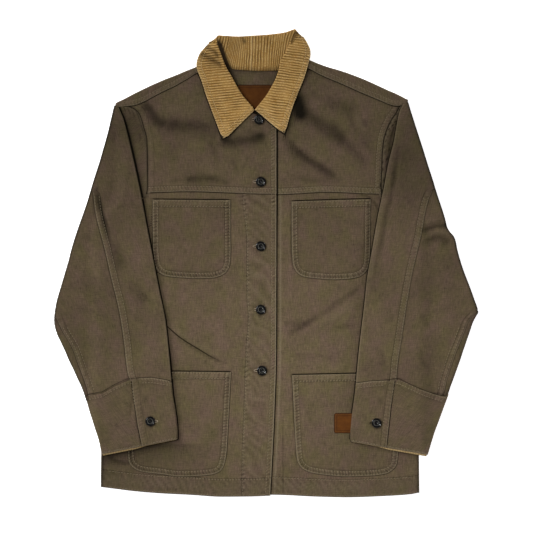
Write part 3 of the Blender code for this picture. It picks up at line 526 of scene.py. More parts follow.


# pile: painted highlight on the crown of a wale, painted shade in the groove between two, which the count of
# wales places; brushed patches, tufts and short fibres; groove says how strong the groove's painted shade is
def corduroyMaterial():
    build = Nodes("tan corduroy")
    tone = clothTones["corduroy"]
    place = build.add("TexCoord", "Object")
    nap, blot = build.noise(place, 38.0, 4.0), build.noise(place, 95.0, 3.0)
    tuft, fibre = build.noise(place, 420.0, 3.0, 0.7), build.noise(place, 1300.0, 3.0, 0.7)
    wale = build.math("FRACT", build.field("phase") * 200.0)
    across = build.math("ABSOLUTE", wale - 0.5) * 2.0
    grooveShade = build.add("MapRange", 0, {"interpolation_type": "SMOOTHSTEP", "Value": across + tuft * 1.1,
                                       "From Min": 0.38, "From Max": 0.98})
    tick = build.ticks(tone["tickPitch"], blot)
    shade = nap * 1.5 + fibre * 0.7 + tuft * 1.5 + (tick * 1.1 + 0.5)
    pile = build.mix(shade, tone["low"], tone["base"])
    pile = build.mix(build.math("MAXIMUM", blot * 3.0 + 0.15, 0.0) * 0.7, pile, tone["rust"])
    crown = build.math("SUBTRACT", 1.0, across) * (tuft * 2.2 + 0.32)
    # wear and painted highlights pale the pile
    pile = build.mix(build.math("MAXIMUM", crown, 0.0) + build.field("wearAndPaintedLight"), pile, tone["paleTone"])
    depth = build.math("MAXIMUM", grooveShade * build.field("grooveShade"), tick * -0.5)
    colour = build.mix(depth, pile, tone["paintedShadeAndTone"])
    # painted shade: the dark notes mix the pile towards near black
    return build.finish({
        "Base Color": build.mix(build.field("paintedShadeAndTone"), colour, tone["black"]), "Roughness": 0.92,
        "Specular IOR Level": 0.2, "Sheen Weight": 0.15, "Sheen Roughness": 0.4,
        "Sheen Tint": (1.0, 0.86, 0.62), "Normal": build.bump(0.6, 0.0008, fibre - depth + tuft * 1.6)})


# twisted thread: fine noise between a darker and a lighter shade of its colour
def threadMaterial(name, colour):
    build = Nodes(name)
    ply = build.add("TexNoise", "Fac", {"Scale": 2600.0, "Detail": 1.0,
                                        "Vector": build.add("TexCoord", "Object")})
    return build.finish({
        "Base Color": build.mix(ply, tuple(0.6 * c for c in colour), tuple(1.3 * c for c in colour)),
        "Roughness": 0.75, "Specular IOR Level": 0.2})


# brown split leather: pores, blotches, darker burnished rim and darker all over where the notes say, on the
# neck label as painted shade
def leatherMaterial():
    build = Nodes("brown leather")
    tone = clothTones["leather"]
    place = build.add("TexCoord", "Object")
    pores = build.add("TexVoronoi", "Distance", {"Scale": 900.0, "Vector": place})
    blotch = build.add("TexNoise", "Fac", {"Scale": 120.0, "Detail": 4.0, "Roughness": 0.6, "Vector": place})
    colour = build.mix(blotch * 1.6 - 0.3, tone["dark"], tone["light"])
    return build.finish({
        "Base Color": build.mix(build.field("wearAndPaintedLight"), colour, tone["rim"]), "Roughness": 0.7,
        "Specular IOR Level": 0.12, "Normal": build.bump(0.35, 0.0003, pores + blotch)})


# black horn-like plastic, faintly smoky, with a grey ring painted as a reflection
def buttonMaterial():
    build = Nodes("black button")
    tone = clothTones["button"]
    smoke = build.add("TexNoise", "Fac", {"Scale": 300.0, "Detail": 3.0, "Distortion": 1.5,
                                          "Vector": build.add("TexCoord", "Object")})
    black = build.mix(smoke, tone["black"], tone["smoke"])
    return build.finish({"Base Color": build.mix(build.field("ring"), black, tone["ring"]),
                         "Roughness": smoke * 0.12 + 0.1, "Specular IOR Level": 0.4})


twill = twillMaterial()
corduroy = corduroyMaterial()
leather = leatherMaterial()
buttonBlack = buttonMaterial()
holeThread = threadMaterial("buttonhole thread", (0.36, 0.285, 0.20))
# material, thickness and slot of each kind of sewing, and the length of a stitch
threads = {
    "bodySewing": (threadMaterial("olive thread", (0.225, 0.180, 0.110)), 0.85, "twill", 5.2),
    "collarSewing": (threadMaterial("tan thread", (0.82, 0.58, 0.27)), 0.7, "corduroy", 3.6),
    "labelSewing": (threadMaterial("brown thread", (0.16, 0.07, 0.02)), 0.45, "leather", 2.4),
}
threads["sleeveSewing"] = threads["bodySewing"]
print("materials ready")

built = {}  # each piece's outer points, for what is sewn on it


# a mesh of points in millimetres, with faces of three corners first and then those of four
def meshOf(name, points, fours, threes=np.zeros((0, 3), int)):
    corners = np.concatenate([threes.ravel(), fours.ravel()]).astype(np.int32)
    starts = np.concatenate([np.arange(0, threes.size, 3), threes.size + np.arange(0, fours.size, 4)])
    mesh = bpy.data.meshes.new(name)
    mesh.vertices.add(len(points))
    mesh.vertices.foreach_set("co", (points * mm).astype(np.float32).ravel())
    mesh.loops.add(len(corners))
    mesh.loops.foreach_set("vertex_index", corners)
    mesh.polygons.add(len(starts))
    mesh.polygons.foreach_set("loop_start", starts.astype(np.int32))
    mesh.update(calc_edges=True)
    return mesh


# turns the faces of a closed mesh outwards
def turnOut(mesh):
    work = bmesh.new()
    work.from_mesh(mesh)
    bmesh.ops.recalc_face_normals(work, faces=work.faces)
    work.to_mesh(mesh)
    work.free()


# puts a finished mesh into the scene as a piece of the jacket
def putPiece(name, mesh, mat, slot):
    mesh.polygons.foreach_set("use_smooth", np.ones(len(mesh.polygons), bool))
    mesh.materials.append(mat)
    obj = bpy.data.objects.new(name, mesh)
    bpy.context.scene.collection.objects.link(obj)
    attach(obj, "root")
    return obj


# a wall that grows inwards from a surface
def addWall(obj, thick, fine):
    solid = obj.modifiers.new("wall", "SOLIDIFY")
    solid.thickness = thick * mm
    solid.offset = -1
    solid.use_quality_normals = fine


# a wall of cloth from a grid of outer points in millimetres: cloth holds each point's place on the flat
# cut, keep says which faces there are, notes are what the material reads, upAt is a place of the grid that
# looks up
def putSurface(name, xyz, cloth, mat=twill, slot="twill", wall=0.9, keep=None, notes=None, upAt=None):
    rows, cols = xyz.shape[:2]
    index = np.arange(rows * cols).reshape(rows, cols)
    quads = np.stack([index[:-1, :-1], index[:-1, 1:], index[1:, 1:], index[1:, :-1]], -1)
    r, c = upAt if upAt else (rows // 2, cols // 2)
    if np.cross(xyz[r, c + 1] - xyz[r, c], xyz[r + 1, c] - xyz[r, c])[2] < 0:
        quads = quads[..., ::-1]
    quads = quads.reshape(-1, 4) if keep is None else quads[keep]
    used, flat = np.unique(quads, return_inverse=True)
    flat = flat.reshape(-1)
    points = xyz.reshape(-1, 3)[used]
    mesh = meshOf(name, points, flat)
    layer = mesh.uv_layers.new(name="cloth")
    layer.data.foreach_set("uv", (cloth.reshape(-1, 2)[used][flat] * 0.1).astype(np.float32).ravel())
    nothing = np.zeros((rows, cols))
    for key, values in {"wearAndPaintedLight": nothing, "paintedShadeAndTone": nothing, **(notes or {})}.items():
        field = mesh.attributes.new(key, "FLOAT", "POINT")
        field.data.foreach_set("value", np.clip(values, 0, 1).reshape(-1)[used].astype(np.float32))
    mesh.validate()
    obj = putPiece(name, mesh, mat, slot)
    if wall:
        addWall(obj, wall, True)
    built[name] = points
    return obj


# height of the pieces' outer points nearest to each place, seen from above
def layOn(names, x, y, lift=0.0, above=-1e9):
    points = np.concatenate([built[n] for n in names])
    points = points[points[:, 2] > above]
    points = points[around(points[:, 0], points[:, 1], np.stack([x, y], -1), 4)]
    heights = np.empty(len(x))
    for start in range(0, len(x), 200):
        part = slice(start, start + 200)
        far = (x[part, None] - points[None, :, 0]) ** 2 + (y[part, None] - points[None, :, 1]) ** 2
        closest = np.argpartition(far, 3, axis=1)[:, :4]
        weight = 1 / (np.take_along_axis(far, closest, 1) + 0.05)
        heights[part] = (points[closest, 2] * weight).sum(1) / weight.sum(1)
    return heights + lift


# starts and ends of the stitches along a dense line of x, y, z
def stitchLine(points, pitch):
    run = runOf(points)
    at = (np.arange(max(1, int(run[-1] / pitch))) + 0.5) * pitch
    return [np.stack([np.interp(at + half * pitch, run, points[:, i]) for i in range(3)], -1)
            for half in (-0.41, 0.41)]


# threads along some lines: each stitch is a slim spindle of ten points between its two needle holes
def sew(name, lines):
    thread, wide, slot, pitch = threads[name]
    pairs = [stitchLine(line, pitch) for line in lines if len(line) > 1]
    start, end = (np.concatenate([pair[k] for pair in pairs]) for k in (0, 1))
    along = end - start
    across = np.stack([-along[:, 1], along[:, 0], 0 * along[:, 0]], -1)
    across /= np.linalg.norm(across, axis=1)[:, None] + 1e-9
    up = np.array([0, 0, 1.0])
    shape = [start - up * 0.12]
    for share in (0.25, 0.75):
        for side, high in ((1, 0), (0, 1), (-1, 0), (0, -1)):
            shape.append(start + along * share + across * side * wide / 2 + up * (high * wide * 0.42 + 0.18))
    shape.append(end - up * 0.12)
    points = np.stack(shape, 1)
    ends = [(0, 1 + k, 1 + (k + 1) % 4) for k in range(4)] + [(9, 5 + (k + 1) % 4, 5 + k) for k in range(4)]
    sides = [(1 + k, 5 + k, 5 + (k + 1) % 4, 1 + (k + 1) % 4) for k in range(4)]
    base = np.arange(len(points))[:, None, None] * 10
    mesh = meshOf(name, points.reshape(-1, 3), np.array(sides) + base, np.array(ends) + base)
    turnOut(mesh)
    putPiece(name, mesh, thread, slot)


# a dense line over the named pieces along x, y
def seamPath(x, y, names, lift=0.0, above=-1e9):
    run = runOf(np.stack([x, y], -1))
    at = np.arange(0, run[-1], 1.0)
    px, py = np.interp(at, run, x), np.interp(at, run, y)
    return np.stack([px, py, layOn(names, px, py, lift, above)], -1)


signs = {"right": (-1, 1), "left": (1, 2)}  # which way is outwards, and the column of the tables
sleeves = {
    "right": {
        # y where each row meets the outer fold and the inner fold
        "rows": np.array([(271, 271), (250, 249), (231, 231), (211, 214), (173, 173), (132, 128), (104, 101),
                          (80, 80), (49, 49), (8, 8), (-37, -37), (-71, -71), (-92, -99), (-120, -130),
                          (-149, -154), (-176, -181), (-207, -202), (-231, -211)]),
        "outer": np.array([(-329, -283.5), (-305, -288.5), (-288, -294), (-271, -299.5), (-254, -305),
                           (-236, -310), (-219, -315.5), (-202, -323), (-185, -331), (-168, -339),
                           (-150, -347), (-133, -355), (-116, -362), (-99, -365), (-89, -364.5),
                           (-82, -363.5), (-64, -360), (-47, -355), (-30, -350), (-13, -345), (4, -340),
                           (22, -335.5), (39, -330.5), (56, -325), (73, -319), (90, -313), (108, -307),
                           (125, -302), (142, -297), (159, -291.5), (176, -286), (194, -281), (211, -276),
                           (228, -271.5), (245, -267.5), (262, -263.5), (275, -260)]),
        "inner": np.array([(-303, -153), (-295, -152.5), (-264, -155), (-227, -161), (-195, -164),
                           (-152, -168), (-97, -174), (-44, -185), (13, -196), (59, -205), (120, -216.5),
                           (173, -228), (217, -238), (250, -247), (273, -257)]),
        "seam": np.array([(-316, -213.5), (-300, -217), (-239, -229), (-202, -235), (-188, -239),
                          (-133, -245.5), (-80, -254), (-22, -268), (22, -278), (56, -287), (90, -295),
                          (130, -300), (150, -306)]),
        "seamEnds": 128,
        "back": np.array([(-330, 3), (-290, 6), (-232, 7.5), (-200, 11), (-170, 14), (-142, 16), (-112, 11),
                          (-93, 4), (-75, -2), (275, -2)]),
    },
    "left": {
        "rows": np.array([(276, 274), (252, 256), (233, 234), (214, 212), (176, 176), (135, 135), (108, 108),
                          (80, 83), (61, 59), (39, 32), (4, 4), (-30, -30), (-64, -64), (-84, -90),
                          (-102, -116), (-135, -142), (-171, -176), (-222, -208)]),
        "outer": np.array([(-330, 277.5), (-305, 285), (-288, 290.5), (-271, 296.5), (-254, 302), (-236, 308),
                           (-219, 314), (-202, 320), (-185, 326.5), (-168, 332.5), (-150, 338.5), (-133, 344),
                           (-116, 350), (-99, 356), (-90, 361), (-84, 364), (-78, 362.5), (-64, 357.5),
                           (-47, 351.5), (-30, 345), (-13, 338.5), (4, 333), (22, 328), (39, 324.5),
                           (46, 321.5), (54, 314.5), (61, 310.5), (73, 307.5), (90, 302.5), (108, 296.5),
                           (125, 291), (142, 286), (159, 280.5), (176, 275), (194, 269.5), (211, 264),
                           (228, 258.5), (245, 253), (262, 247.5), (277, 243)]),
        "inner": np.array([(-308, 146), (-302, 144), (-259, 147), (-224, 152), (-191, 155), (-150, 159),
                           (-64, 169), (-26, 173), (25, 182), (83, 192), (125, 201), (173, 210), (209, 219),
                           (240, 224.5), (262, 229), (276, 237)]),
        "seam": np.array([(-318, 206), (-309, 207), (-252, 214), (-212, 221), (-200, 223.5), (-171, 226),
                          (-133, 232), (-80, 240), (-22, 250), (22, 260), (47, 266), (85, 273), (109, 279),
                          (126, 286), (145, 292)]),
        "seamEnds": 126,
        "back": np.array([(-330, 3), (-292, 7), (-249, 9), (-230, 8), (-195, 12), (-163, 13), (-128, 11),
                          (-96, 9), (-86, 5), (-78, -2), (277, -2)]),
    },
    "thick": 6.3, "hookThick": 4.2, "hook": 12.0, "crown": 1.4,
    # height, width of the painted shadow line in the gap beside the inner fold
    "gap": {"right": ([-320, -230, -100, 60, 150, 230, 272], [1.4, 2.5, 2.1, 2.5, 4.2, 4.2, 1.8]),
            "left": ([-320, -230, -100, 60, 150, 230, 272], [1.3, 2.0, 1.9, 1.8, 1.8, 1.6, 1.0])},
}
cuffs = {
    "right": {"rows": np.array([(-229, -209), (-329, -303)]), "node": "cuff_right",
              "top": np.array([(-312, -229), (-305, -226), (-283, -222), (-259, -208), (-238, -199),
                               (-221, -198), (-197, -197), (-168, -202), (-160, -206)])},
    "left": {"rows": np.array([(-220, -206), (-330, -307)]), "node": "cuff_left",
             "top": np.array([(150, -207), (158, -206), (180, -203), (204, -202), (222, -199), (228, -199),
                              (250, -210), (275, -221), (301, -229), (316, -232)])},
    "lap": 14.0, "rise": 1.5, "inset": 1.9,
}

# middles of the buttons, height of the top one over its place, none on the cuffs
buttons = {
    "button_1": (-13, 247, 0.0), "button_2": (-10, 140, 0.6), "button_3": (-10, 29, 0.0),
    "button_4": (-10, -80, 0.0), "button_5": (-8, -185, 0.0),
    "cuff_button_right": (-200, -272, None), "cuff_button_left": (189, -275, None),
}


# calm of the cloth under the buttons, 0 there and 1 away from them, and the painted shade of the slit beside
# each and of each button's shadow
def besideButtons(x, y, onCuff=False):
    calm, buttonShade = np.ones(np.shape(x)), np.zeros(np.shape(x))
    for bx, by, rise in buttons.values():
        if (rise is None) == onCuff:
            calm = calm * glide((np.hypot(x - bx, y - by) - 8) / 6)
            eye = bx + (9.6 if onCuff and bx < 0 else -9.6)
            buttonShade = np.maximum(buttonShade, 0.9 * np.exp(-((x - eye) / 2.6) ** 4 - ((y - by) / 0.9) ** 2))
            shadow = np.maximum(np.hypot(x - bx - 0.8, y - by + 1) - 8.4, 0)
            buttonShade = np.maximum(buttonShade, 0.55 * bell(shadow, 1.3))
    return calm, buttonShade


pockets = {
    "chestPocketRight": {"node": "chest_pocket_right", "side": "right", "top": [(-196, 109), (-62, 108)],
                         "bottom": [(-195.5, 20), (-193, -2), (-185, -16), (-172, -22.5), (-150, -25),
                                    (-120, -26.5), (-95, -26), (-80, -22.5), (-68, -14), (-62.5, 0),
                                    (-61.5, 20)]},
    "chestPocketLeft": {"node": "chest_pocket_left", "side": "left", "top": [(43, 106), (179.5, 110)],
                        "bottom": [(43.5, 20), (45.5, -2), (53, -17), (66, -24), (85, -26.5), (114, -28.5),
                                   (145, -27), (160, -23.5), (171, -15), (177, -1), (178.5, 20)]},
    "hipPocketRight": {"node": "hip_pocket_right", "side": "right", "top": [(-238.5, -186), (-61, -188)],
                       "bottom": [(-239, -320), (-237.5, -340), (-230, -352), (-215, -359), (-185, -363),
                                  (-146, -367.5), (-110, -366), (-88, -362.5), (-76, -354), (-70.5, -338),
                                  (-68, -320)]},
    "hipPocketLeft": {"node": "hip_pocket_left", "side": "left", "top": [(44, -193), (226.5, -189)],
                      "bottom": [(50.5, -320), (53, -340), (61, -353), (75, -360), (100, -364.5),
                                 (137, -367.5), (180, -366), (204, -363), (217, -356), (225, -344),
                                 (227, -320)]},
}


# lower edge of the back yoke's strip over the shoulders
def stripLine(x):
    table = np.vstack([body["shoulderRight"][:, [0, 2]], body["shoulderLeft"][:, [0, 2]]])
    return column(table, x)


# outside height of a front: its plain level, lower towards the shoulder strip, shaped at the placket
def frontHeight(side, x, y):
    slope = glide((y - stripLine(x) + 45) / 30)
    if side == "right":
        return body["frontTop"] + body["placketRise"] * glide((x + 58) / 22) - 1.5 * slope * (x < -30)
    return body["underTop"] - body["placketSink"] * glide((42 - x) / 26) - 0.9 * slope * (x > 30)


# how much painted shade darkens the bottom of a crease of that height
def creaseShade(folds):
    return 0.23 * np.clip(-folds - 0.35, 0, 2.4)


# how much the crest of a crease of that height is rubbed
def creaseShine(folds):
    return 0.07 * np.clip(folds - 0.6, 0, 2.6)


# creases and the slow unevenness of cloth laid out by hand, calm near the side folds
def bodyRelief(side, x, y):
    value = signs[side][1]
    calm = glide(np.abs(x - column(body["sides"], y, value)) / 14)
    slow = 0.9 * rumple(x, y, 85, 10 + value) + 0.4 * rumple(x, y, 38, 13)
    return (creased(x, y, creases[side]) + slow) * calm


# painted shadow where a sleeve lies on the body: a full dark gap line as wide as the table says along the
# sleeve's inner fold, its cuff and the cuff's lower edge, then a short fading tail
def bodyShade(side, x, y):
    spec = sleeves[side]
    foot = cuffs[side]["rows"][1]
    corner = np.array([[foot[1], spec["inner"][0, 1]], [foot[0], column(spec["outer"], foot[0])]])
    line = spec["inner"][::-1]
    path = np.concatenate([line[line[:, 0] > foot[1] + 1], corner])[:, ::-1]
    far = -signs[side][0] * nearLine(x, y, path)[0]
    gap = through(y, *sleeves["gap"][side])
    low = glide((-306 - y) / 8) * (x < 0)
    return np.where(far > -2.5, (0.3 + 0.5 * low) * fade(far - gap, 3.6 + 17 * low), 0), edgeLine(far, gap)


# the front sinks in a narrow crevice round each pocket, deepest along its mouth, with a painted shadow line
# along it
def pocketCrevice(side, x, y):
    sink, line = np.zeros(np.shape(x)), np.full(np.shape(x), 10.0)
    for spec in [spec for spec in pockets.values() if spec["side"] == side]:
        bottom = bend(spec["bottom"], 40)
        (lx, ly), (rx, ry) = spec["top"]
        near = (x > lx - 12) & (x < rx + 12) & (y > bottom[:, 1].min() - 8) & (y < max(ly, ry) + 8)
        px, py = x[near], y[near]
        over = py - (ly + (ry - ly) * np.clip((px - lx) / (rx - lx), 0, 1))
        inside = glide((px - lx + 1) / 2) * glide((rx + 1 - px) / 2)
        far = nearLine(px, py, np.concatenate([[(lx, ly)], bottom, [(rx, ry)]]))[0]
        rim = -0.8 * bell(np.maximum(-far, 0), 1.3) * (far < 0.6)
        sink[near] += np.minimum(-1.9 * bell(over - 0.7, 1.0) * inside, rim * (over < 0.5))
        beside = np.where(over > 0, edgeLine(over, 1.9) + 12 * (1 - inside), edgeLine(-far, 0.7))
        line[near] = nearest(line[near], beside)
    return sink, line


# height and wear of the right front edge's two rows of stitches, with a painted highlight along the fold
def placketEdge(fromEdge, y):
    dip, rub = sewn(fromEdge, y, "placket")
    return dip + edgeRound(fromEdge, 0.9), 0.5 * rub + bell(fromEdge - 0.9, 1.1)


# the painted shadow line that the right front's edge leaves on the left one
def placketLine(x, y):
    return edgeLine(x - column(body["placket"], y), 2.0 + 1.0 * glide((y - 40) / 80))


# a place's height pressed flat under the buttons
def pressed(z, plain, calm):
    return plain + (z - plain) * calm - 0.35 * (1 - calm)


# lower front: columns from the front edge to the side and round its fold, rows from the hem to under the yoke
def frontPanel(side):
    right = side == "right"
    sign, value = signs[side]
    label = side.capitalize()
    long, wide, startX, startY = 526.0, 294.0, 17 if right else -35, -394.0
    edgeTable = body["placket" if right else "underEdge"]
    hem, seam = body["hem" + label], body["seam" + label]
    closeX = [(0, 2.4, 0.4), (2.4, 10, 1.0), (45, 60, 1.2)] if right else [(50, 66, 0.9)]
    closeY = [(0, 2.4, 0.45), (26, 34, 0.8), (505, 526, 0.9)]
    for spec in [spec for spec in pockets.values() if spec["side"] == side]:
        closeX += [(abs(top[0] - startX) - 4, abs(top[0] - startX) + 4, 0.9) for top in spec["top"]]
        mouth, foot = spec["top"][0][1] + 396, min(p[1] for p in spec["bottom"]) + 396
        closeY += [(mouth - 6, mouth + 14, 0.6), (foot - 5, foot + 12, 1.1)]
    across = ladder(wide, 3.6, closeX) / wide
    rows = ladder(long, 3.8, closeY)
    level = rows + startY
    split = int(np.searchsorted(level, 59.0))
    edge = column(edgeTable, level)
    sideX = column(body["sides"], level, value) - sign * body["roll"]
    armX = column(body["armhole"], level, value) + sign * 5
    outer = np.where(np.arange(len(level)) > split, armX, sideX)
    x = edge[:, None] + (outer - edge)[:, None] * across[None, :]
    low, high = column(hem, x), column(seam, x) + 7
    y = low + (high - low) * (rows / long)[:, None]
    fromHem, fromEdge = y - low, np.abs(x - edge[:, None])
    plain = frontHeight(side, x, y)
    crevice, gaps = pocketCrevice(side, x, y)
    z = plain + bodyRelief(side, x, y) + crevice
    folds = creased(x, y, creases[side])
    # painted shade in the crevices round the pockets and in the creases
    paintedShadeAndTone = 0.5 * np.clip(-crevice / 1.5, 0, 1) + creaseShade(folds)
    ropes = [(fromHem - 27.5, x, 0.4, 3.6, 0.75), (fromHem, x, 0.5, 3.0, 0.6)]

    # the hem: its row of stitches, and the slanting puckers that it draws, with painted shade beside the rows
    # and along the edge, and painted shade and highlights in streaks for the puckers
    hemDip, hemWear = sewn(fromHem, x, "hem")
    z += hemDip + 0.45 * glide((31 - fromHem) / 3) + edgeRound(fromHem, 0.9)
    wearAndPaintedLight = 0.30 * hemWear + 0.4 * bell(fromHem - 2, 1.6) + creaseShine(folds)
    paintedShadeAndTone += 0.35 * bell(fromHem - 30.6, 0.9) + 0.45 * bell(fromHem, 0.8)
    drawn = wave(x / 12.0 + 0.05 * fromHem + 0.7 * rumple(x, fromHem, 34, 29)) * glide((fromHem - 3) / 5)
    drawn *= glide((44 - fromHem) / 22) * (0.6 + 0.5 * rumple(x, fromHem, 50, 30))
    paintedShadeAndTone += 0.2 * glide(drawn) + 0.09 * glide((30 - fromHem) / 3)
    wearAndPaintedLight += 0.12 * glide(-drawn)
    if right:
        # the placket: its edge, the row that holds the facing, and the cloth drawn between the two; painted
        # shade beside the facing row, and painted shade and highlights along the drag lines
        height, rub = placketEdge(fromEdge, y)
        z += height
        wearAndPaintedLight += rub
        facing = x - column(body["facing"], y)
        z += -0.4 * bell(facing, 0.9) + 0.35 * glide((facing + 1) / 2) * glide((60 - facing) / 8)
        roping = wave(y / 8.6 - 0.25 * facing / 8 + 0.5 * rumple(y, x * 0, 25, 24))
        band = bell(facing - 1, 4.0)
        z += 0.6 * band * roping
        wearAndPaintedLight += 0.3 * band * (0.5 + 0.5 * roping)
        edgeBand = bell(fromEdge - 4.6, 2.4)
        edgeRope = wave(y / 8.4 + 0.2 * fromEdge / 4 + 0.5 * rumple(y, x * 0, 25, 27))
        z += 0.5 * edgeBand * edgeRope
        uneven = 0.6 + 0.4 * rumple(y, x * 0, 40, 28)
        paintedShadeAndTone += 0.3 * band * glide(-roping) + 0.34 * edgeBand * glide(-edgeRope) * uneven
        paintedShadeAndTone += 0.3 * bell(facing + 1.2, 1.0)
        drag = wave((y + 1.1 * x) / 21 + 0.8 * rumple(x, y, 30, 26))
        drag = drag * glide(facing / 8) * glide((fromEdge - 6) / 8)
        z += 0.35 * drag
        paintedShadeAndTone += 0.13 * glide(-drag)
        wearAndPaintedLight += 0.16 * glide(drag)
        ropes += [(fromEdge, y, 1.6, 7.8, 0.55), (facing + 2, y, 0.4, 3.6, 0.5)]
        calm, buttonShade = besideButtons(x, y)
        z = pressed(z, plain, calm)
        paintedShadeAndTone += buttonShade
    else:
        gaps = nearest(gaps, placketLine(x, y))
        wearAndPaintedLight += 0.4 * bell(x - column(body["placket"], y) - 7, 2.0)
        facingRow = bell(x - 28.5, 0.9) * glide((-250 - y) / 40)
        z += -0.35 * facingRow
        paintedShadeAndTone += 0.4 * facingRow

    # what lies on it: the sleeve, and the yoke, under which it goes down, and the painted shadow both leave
    toSeam = high - 7 - y
    shade, gap = bodyShade(side, x, y)
    gaps = nearest(gaps, edgeLine(toSeam, 1.2), gap)
    paintedShadeAndTone += 0.4 * seamShade(toSeam) + shade
    z -= 0.6 * glide((4 - toSeam) / 4)
    sink = glide((toSeam + 1.5) / 3)
    z = np.where(toSeam < 0, np.minimum(z, plain - 0.4), z) * sink + (plain - 0.6) * (1 - sink)

    # the side fold: nine columns round it and three below
    top = body["frontTop" if right else "underTop"]
    below = (np.arange(len(level)) <= split)[:, None]
    z = np.where(below, top + (z - top) * glide((np.abs(sideX[:, None] - x)) / 10), z)
    turn = np.radians([70, 50, 30, 10, -10, -30, -50, -70, -90])
    radius = top / 2
    rollX = sideX[:, None] + sign * radius * np.cos(turn)[None, :]
    rollZ = radius + radius * np.sin(turn)[None, :] + 0 * rollX
    underX = sideX[:, None] - sign * np.array([3.0, 6.0, 9.0])[None, :]
    more = 12
    foldXyz = np.stack([np.concatenate([rollX, underX], 1), np.repeat(y[:, -1:], more, 1),
                        np.concatenate([rollZ, 0 * underX], 1)], -1)
    xyz = np.concatenate([np.stack([x, y, z], -1), foldXyz], 1)
    flatX = np.concatenate([x, sideX[:, None] + sign * np.arange(1, more + 1)[None, :] * 1.2], 1)
    # painted shade where the cloth turns round the side fold
    paintedShadeAndTone += 0.5 * bell(sideX[:, None] - x, 2.0) * below
    notes = clothNotes(wearAndPaintedLight, paintedShadeAndTone, gaps, *ropes)
    if right:
        # a sharp crease, whose dark line is painted shade
        signed, share, _ = nearLine(x, y, bend(creases["sharp"], 40))
        notes["line"] = np.clip(signed, -20, 20) / 40 + 0.5
        notes["creaseShadeOn"] = 0.9 * glide(share / 0.05 + 0.3) * glide((1 - share) / 0.4) * (np.abs(signed) < 18)
    # painted shade on the side fold's own columns
    onFold = {"paintedShadeAndTone": 0.5}
    notes = {key: np.concatenate([values, np.full((len(rows), more), onFold.get(key, 0.0))], 1)
             for key, values in notes.items()}
    keep = np.ones((xyz.shape[0] - 1, xyz.shape[1] - 1), bool)
    keep[split:, len(across) - 1:] = False
    obj = putSurface("front" + label, xyz, np.stack([flatX, xyz[..., 1]], -1), keep=keep, notes=notes,
                     upAt=(20, 20))
    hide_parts("front_" + side)


# lines along the collar's leaves: a thin painted shadow line in the gap, and a painted shade that fades
# within so many millimetres
collarLines = [
    ([(-121, 352), (-120.5, 338), (-112, 314), (-103, 286), (-90, 251), (-76, 213)], 1.5),
    ([(-76, 213), (-66, 218.5), (-46, 238.5), (-22, 261.5)], 5.0),
    ([(-19, 263), (23, 227.5), (31, 222)], 3.0),
    ([(31, 218), (42, 259), (54, 292), (65, 319), (73, 343), (77, 357)], 6.5),
]


# painted shade beside the collar's leaves: the shadow line in the gap, and the soft shade on the side away
# from the light
def collarShade(x, y):
    total, gaps = np.zeros(np.shape(x)), np.full(np.shape(x), 10.0)
    for points, soft in collarLines:
        line = bend(points, 20)
        near = around(x, y, line, 5 * soft + 6)
        if near.any():
            far = -nearLine(x[near], y[near], line)[0]
            total[near] = np.maximum(total[near], np.where(far > -3, 0.45 * fade(far, soft), 0))
            gaps[near] = nearest(gaps[near], edgeLine(far, 1.8))
    return total, gaps


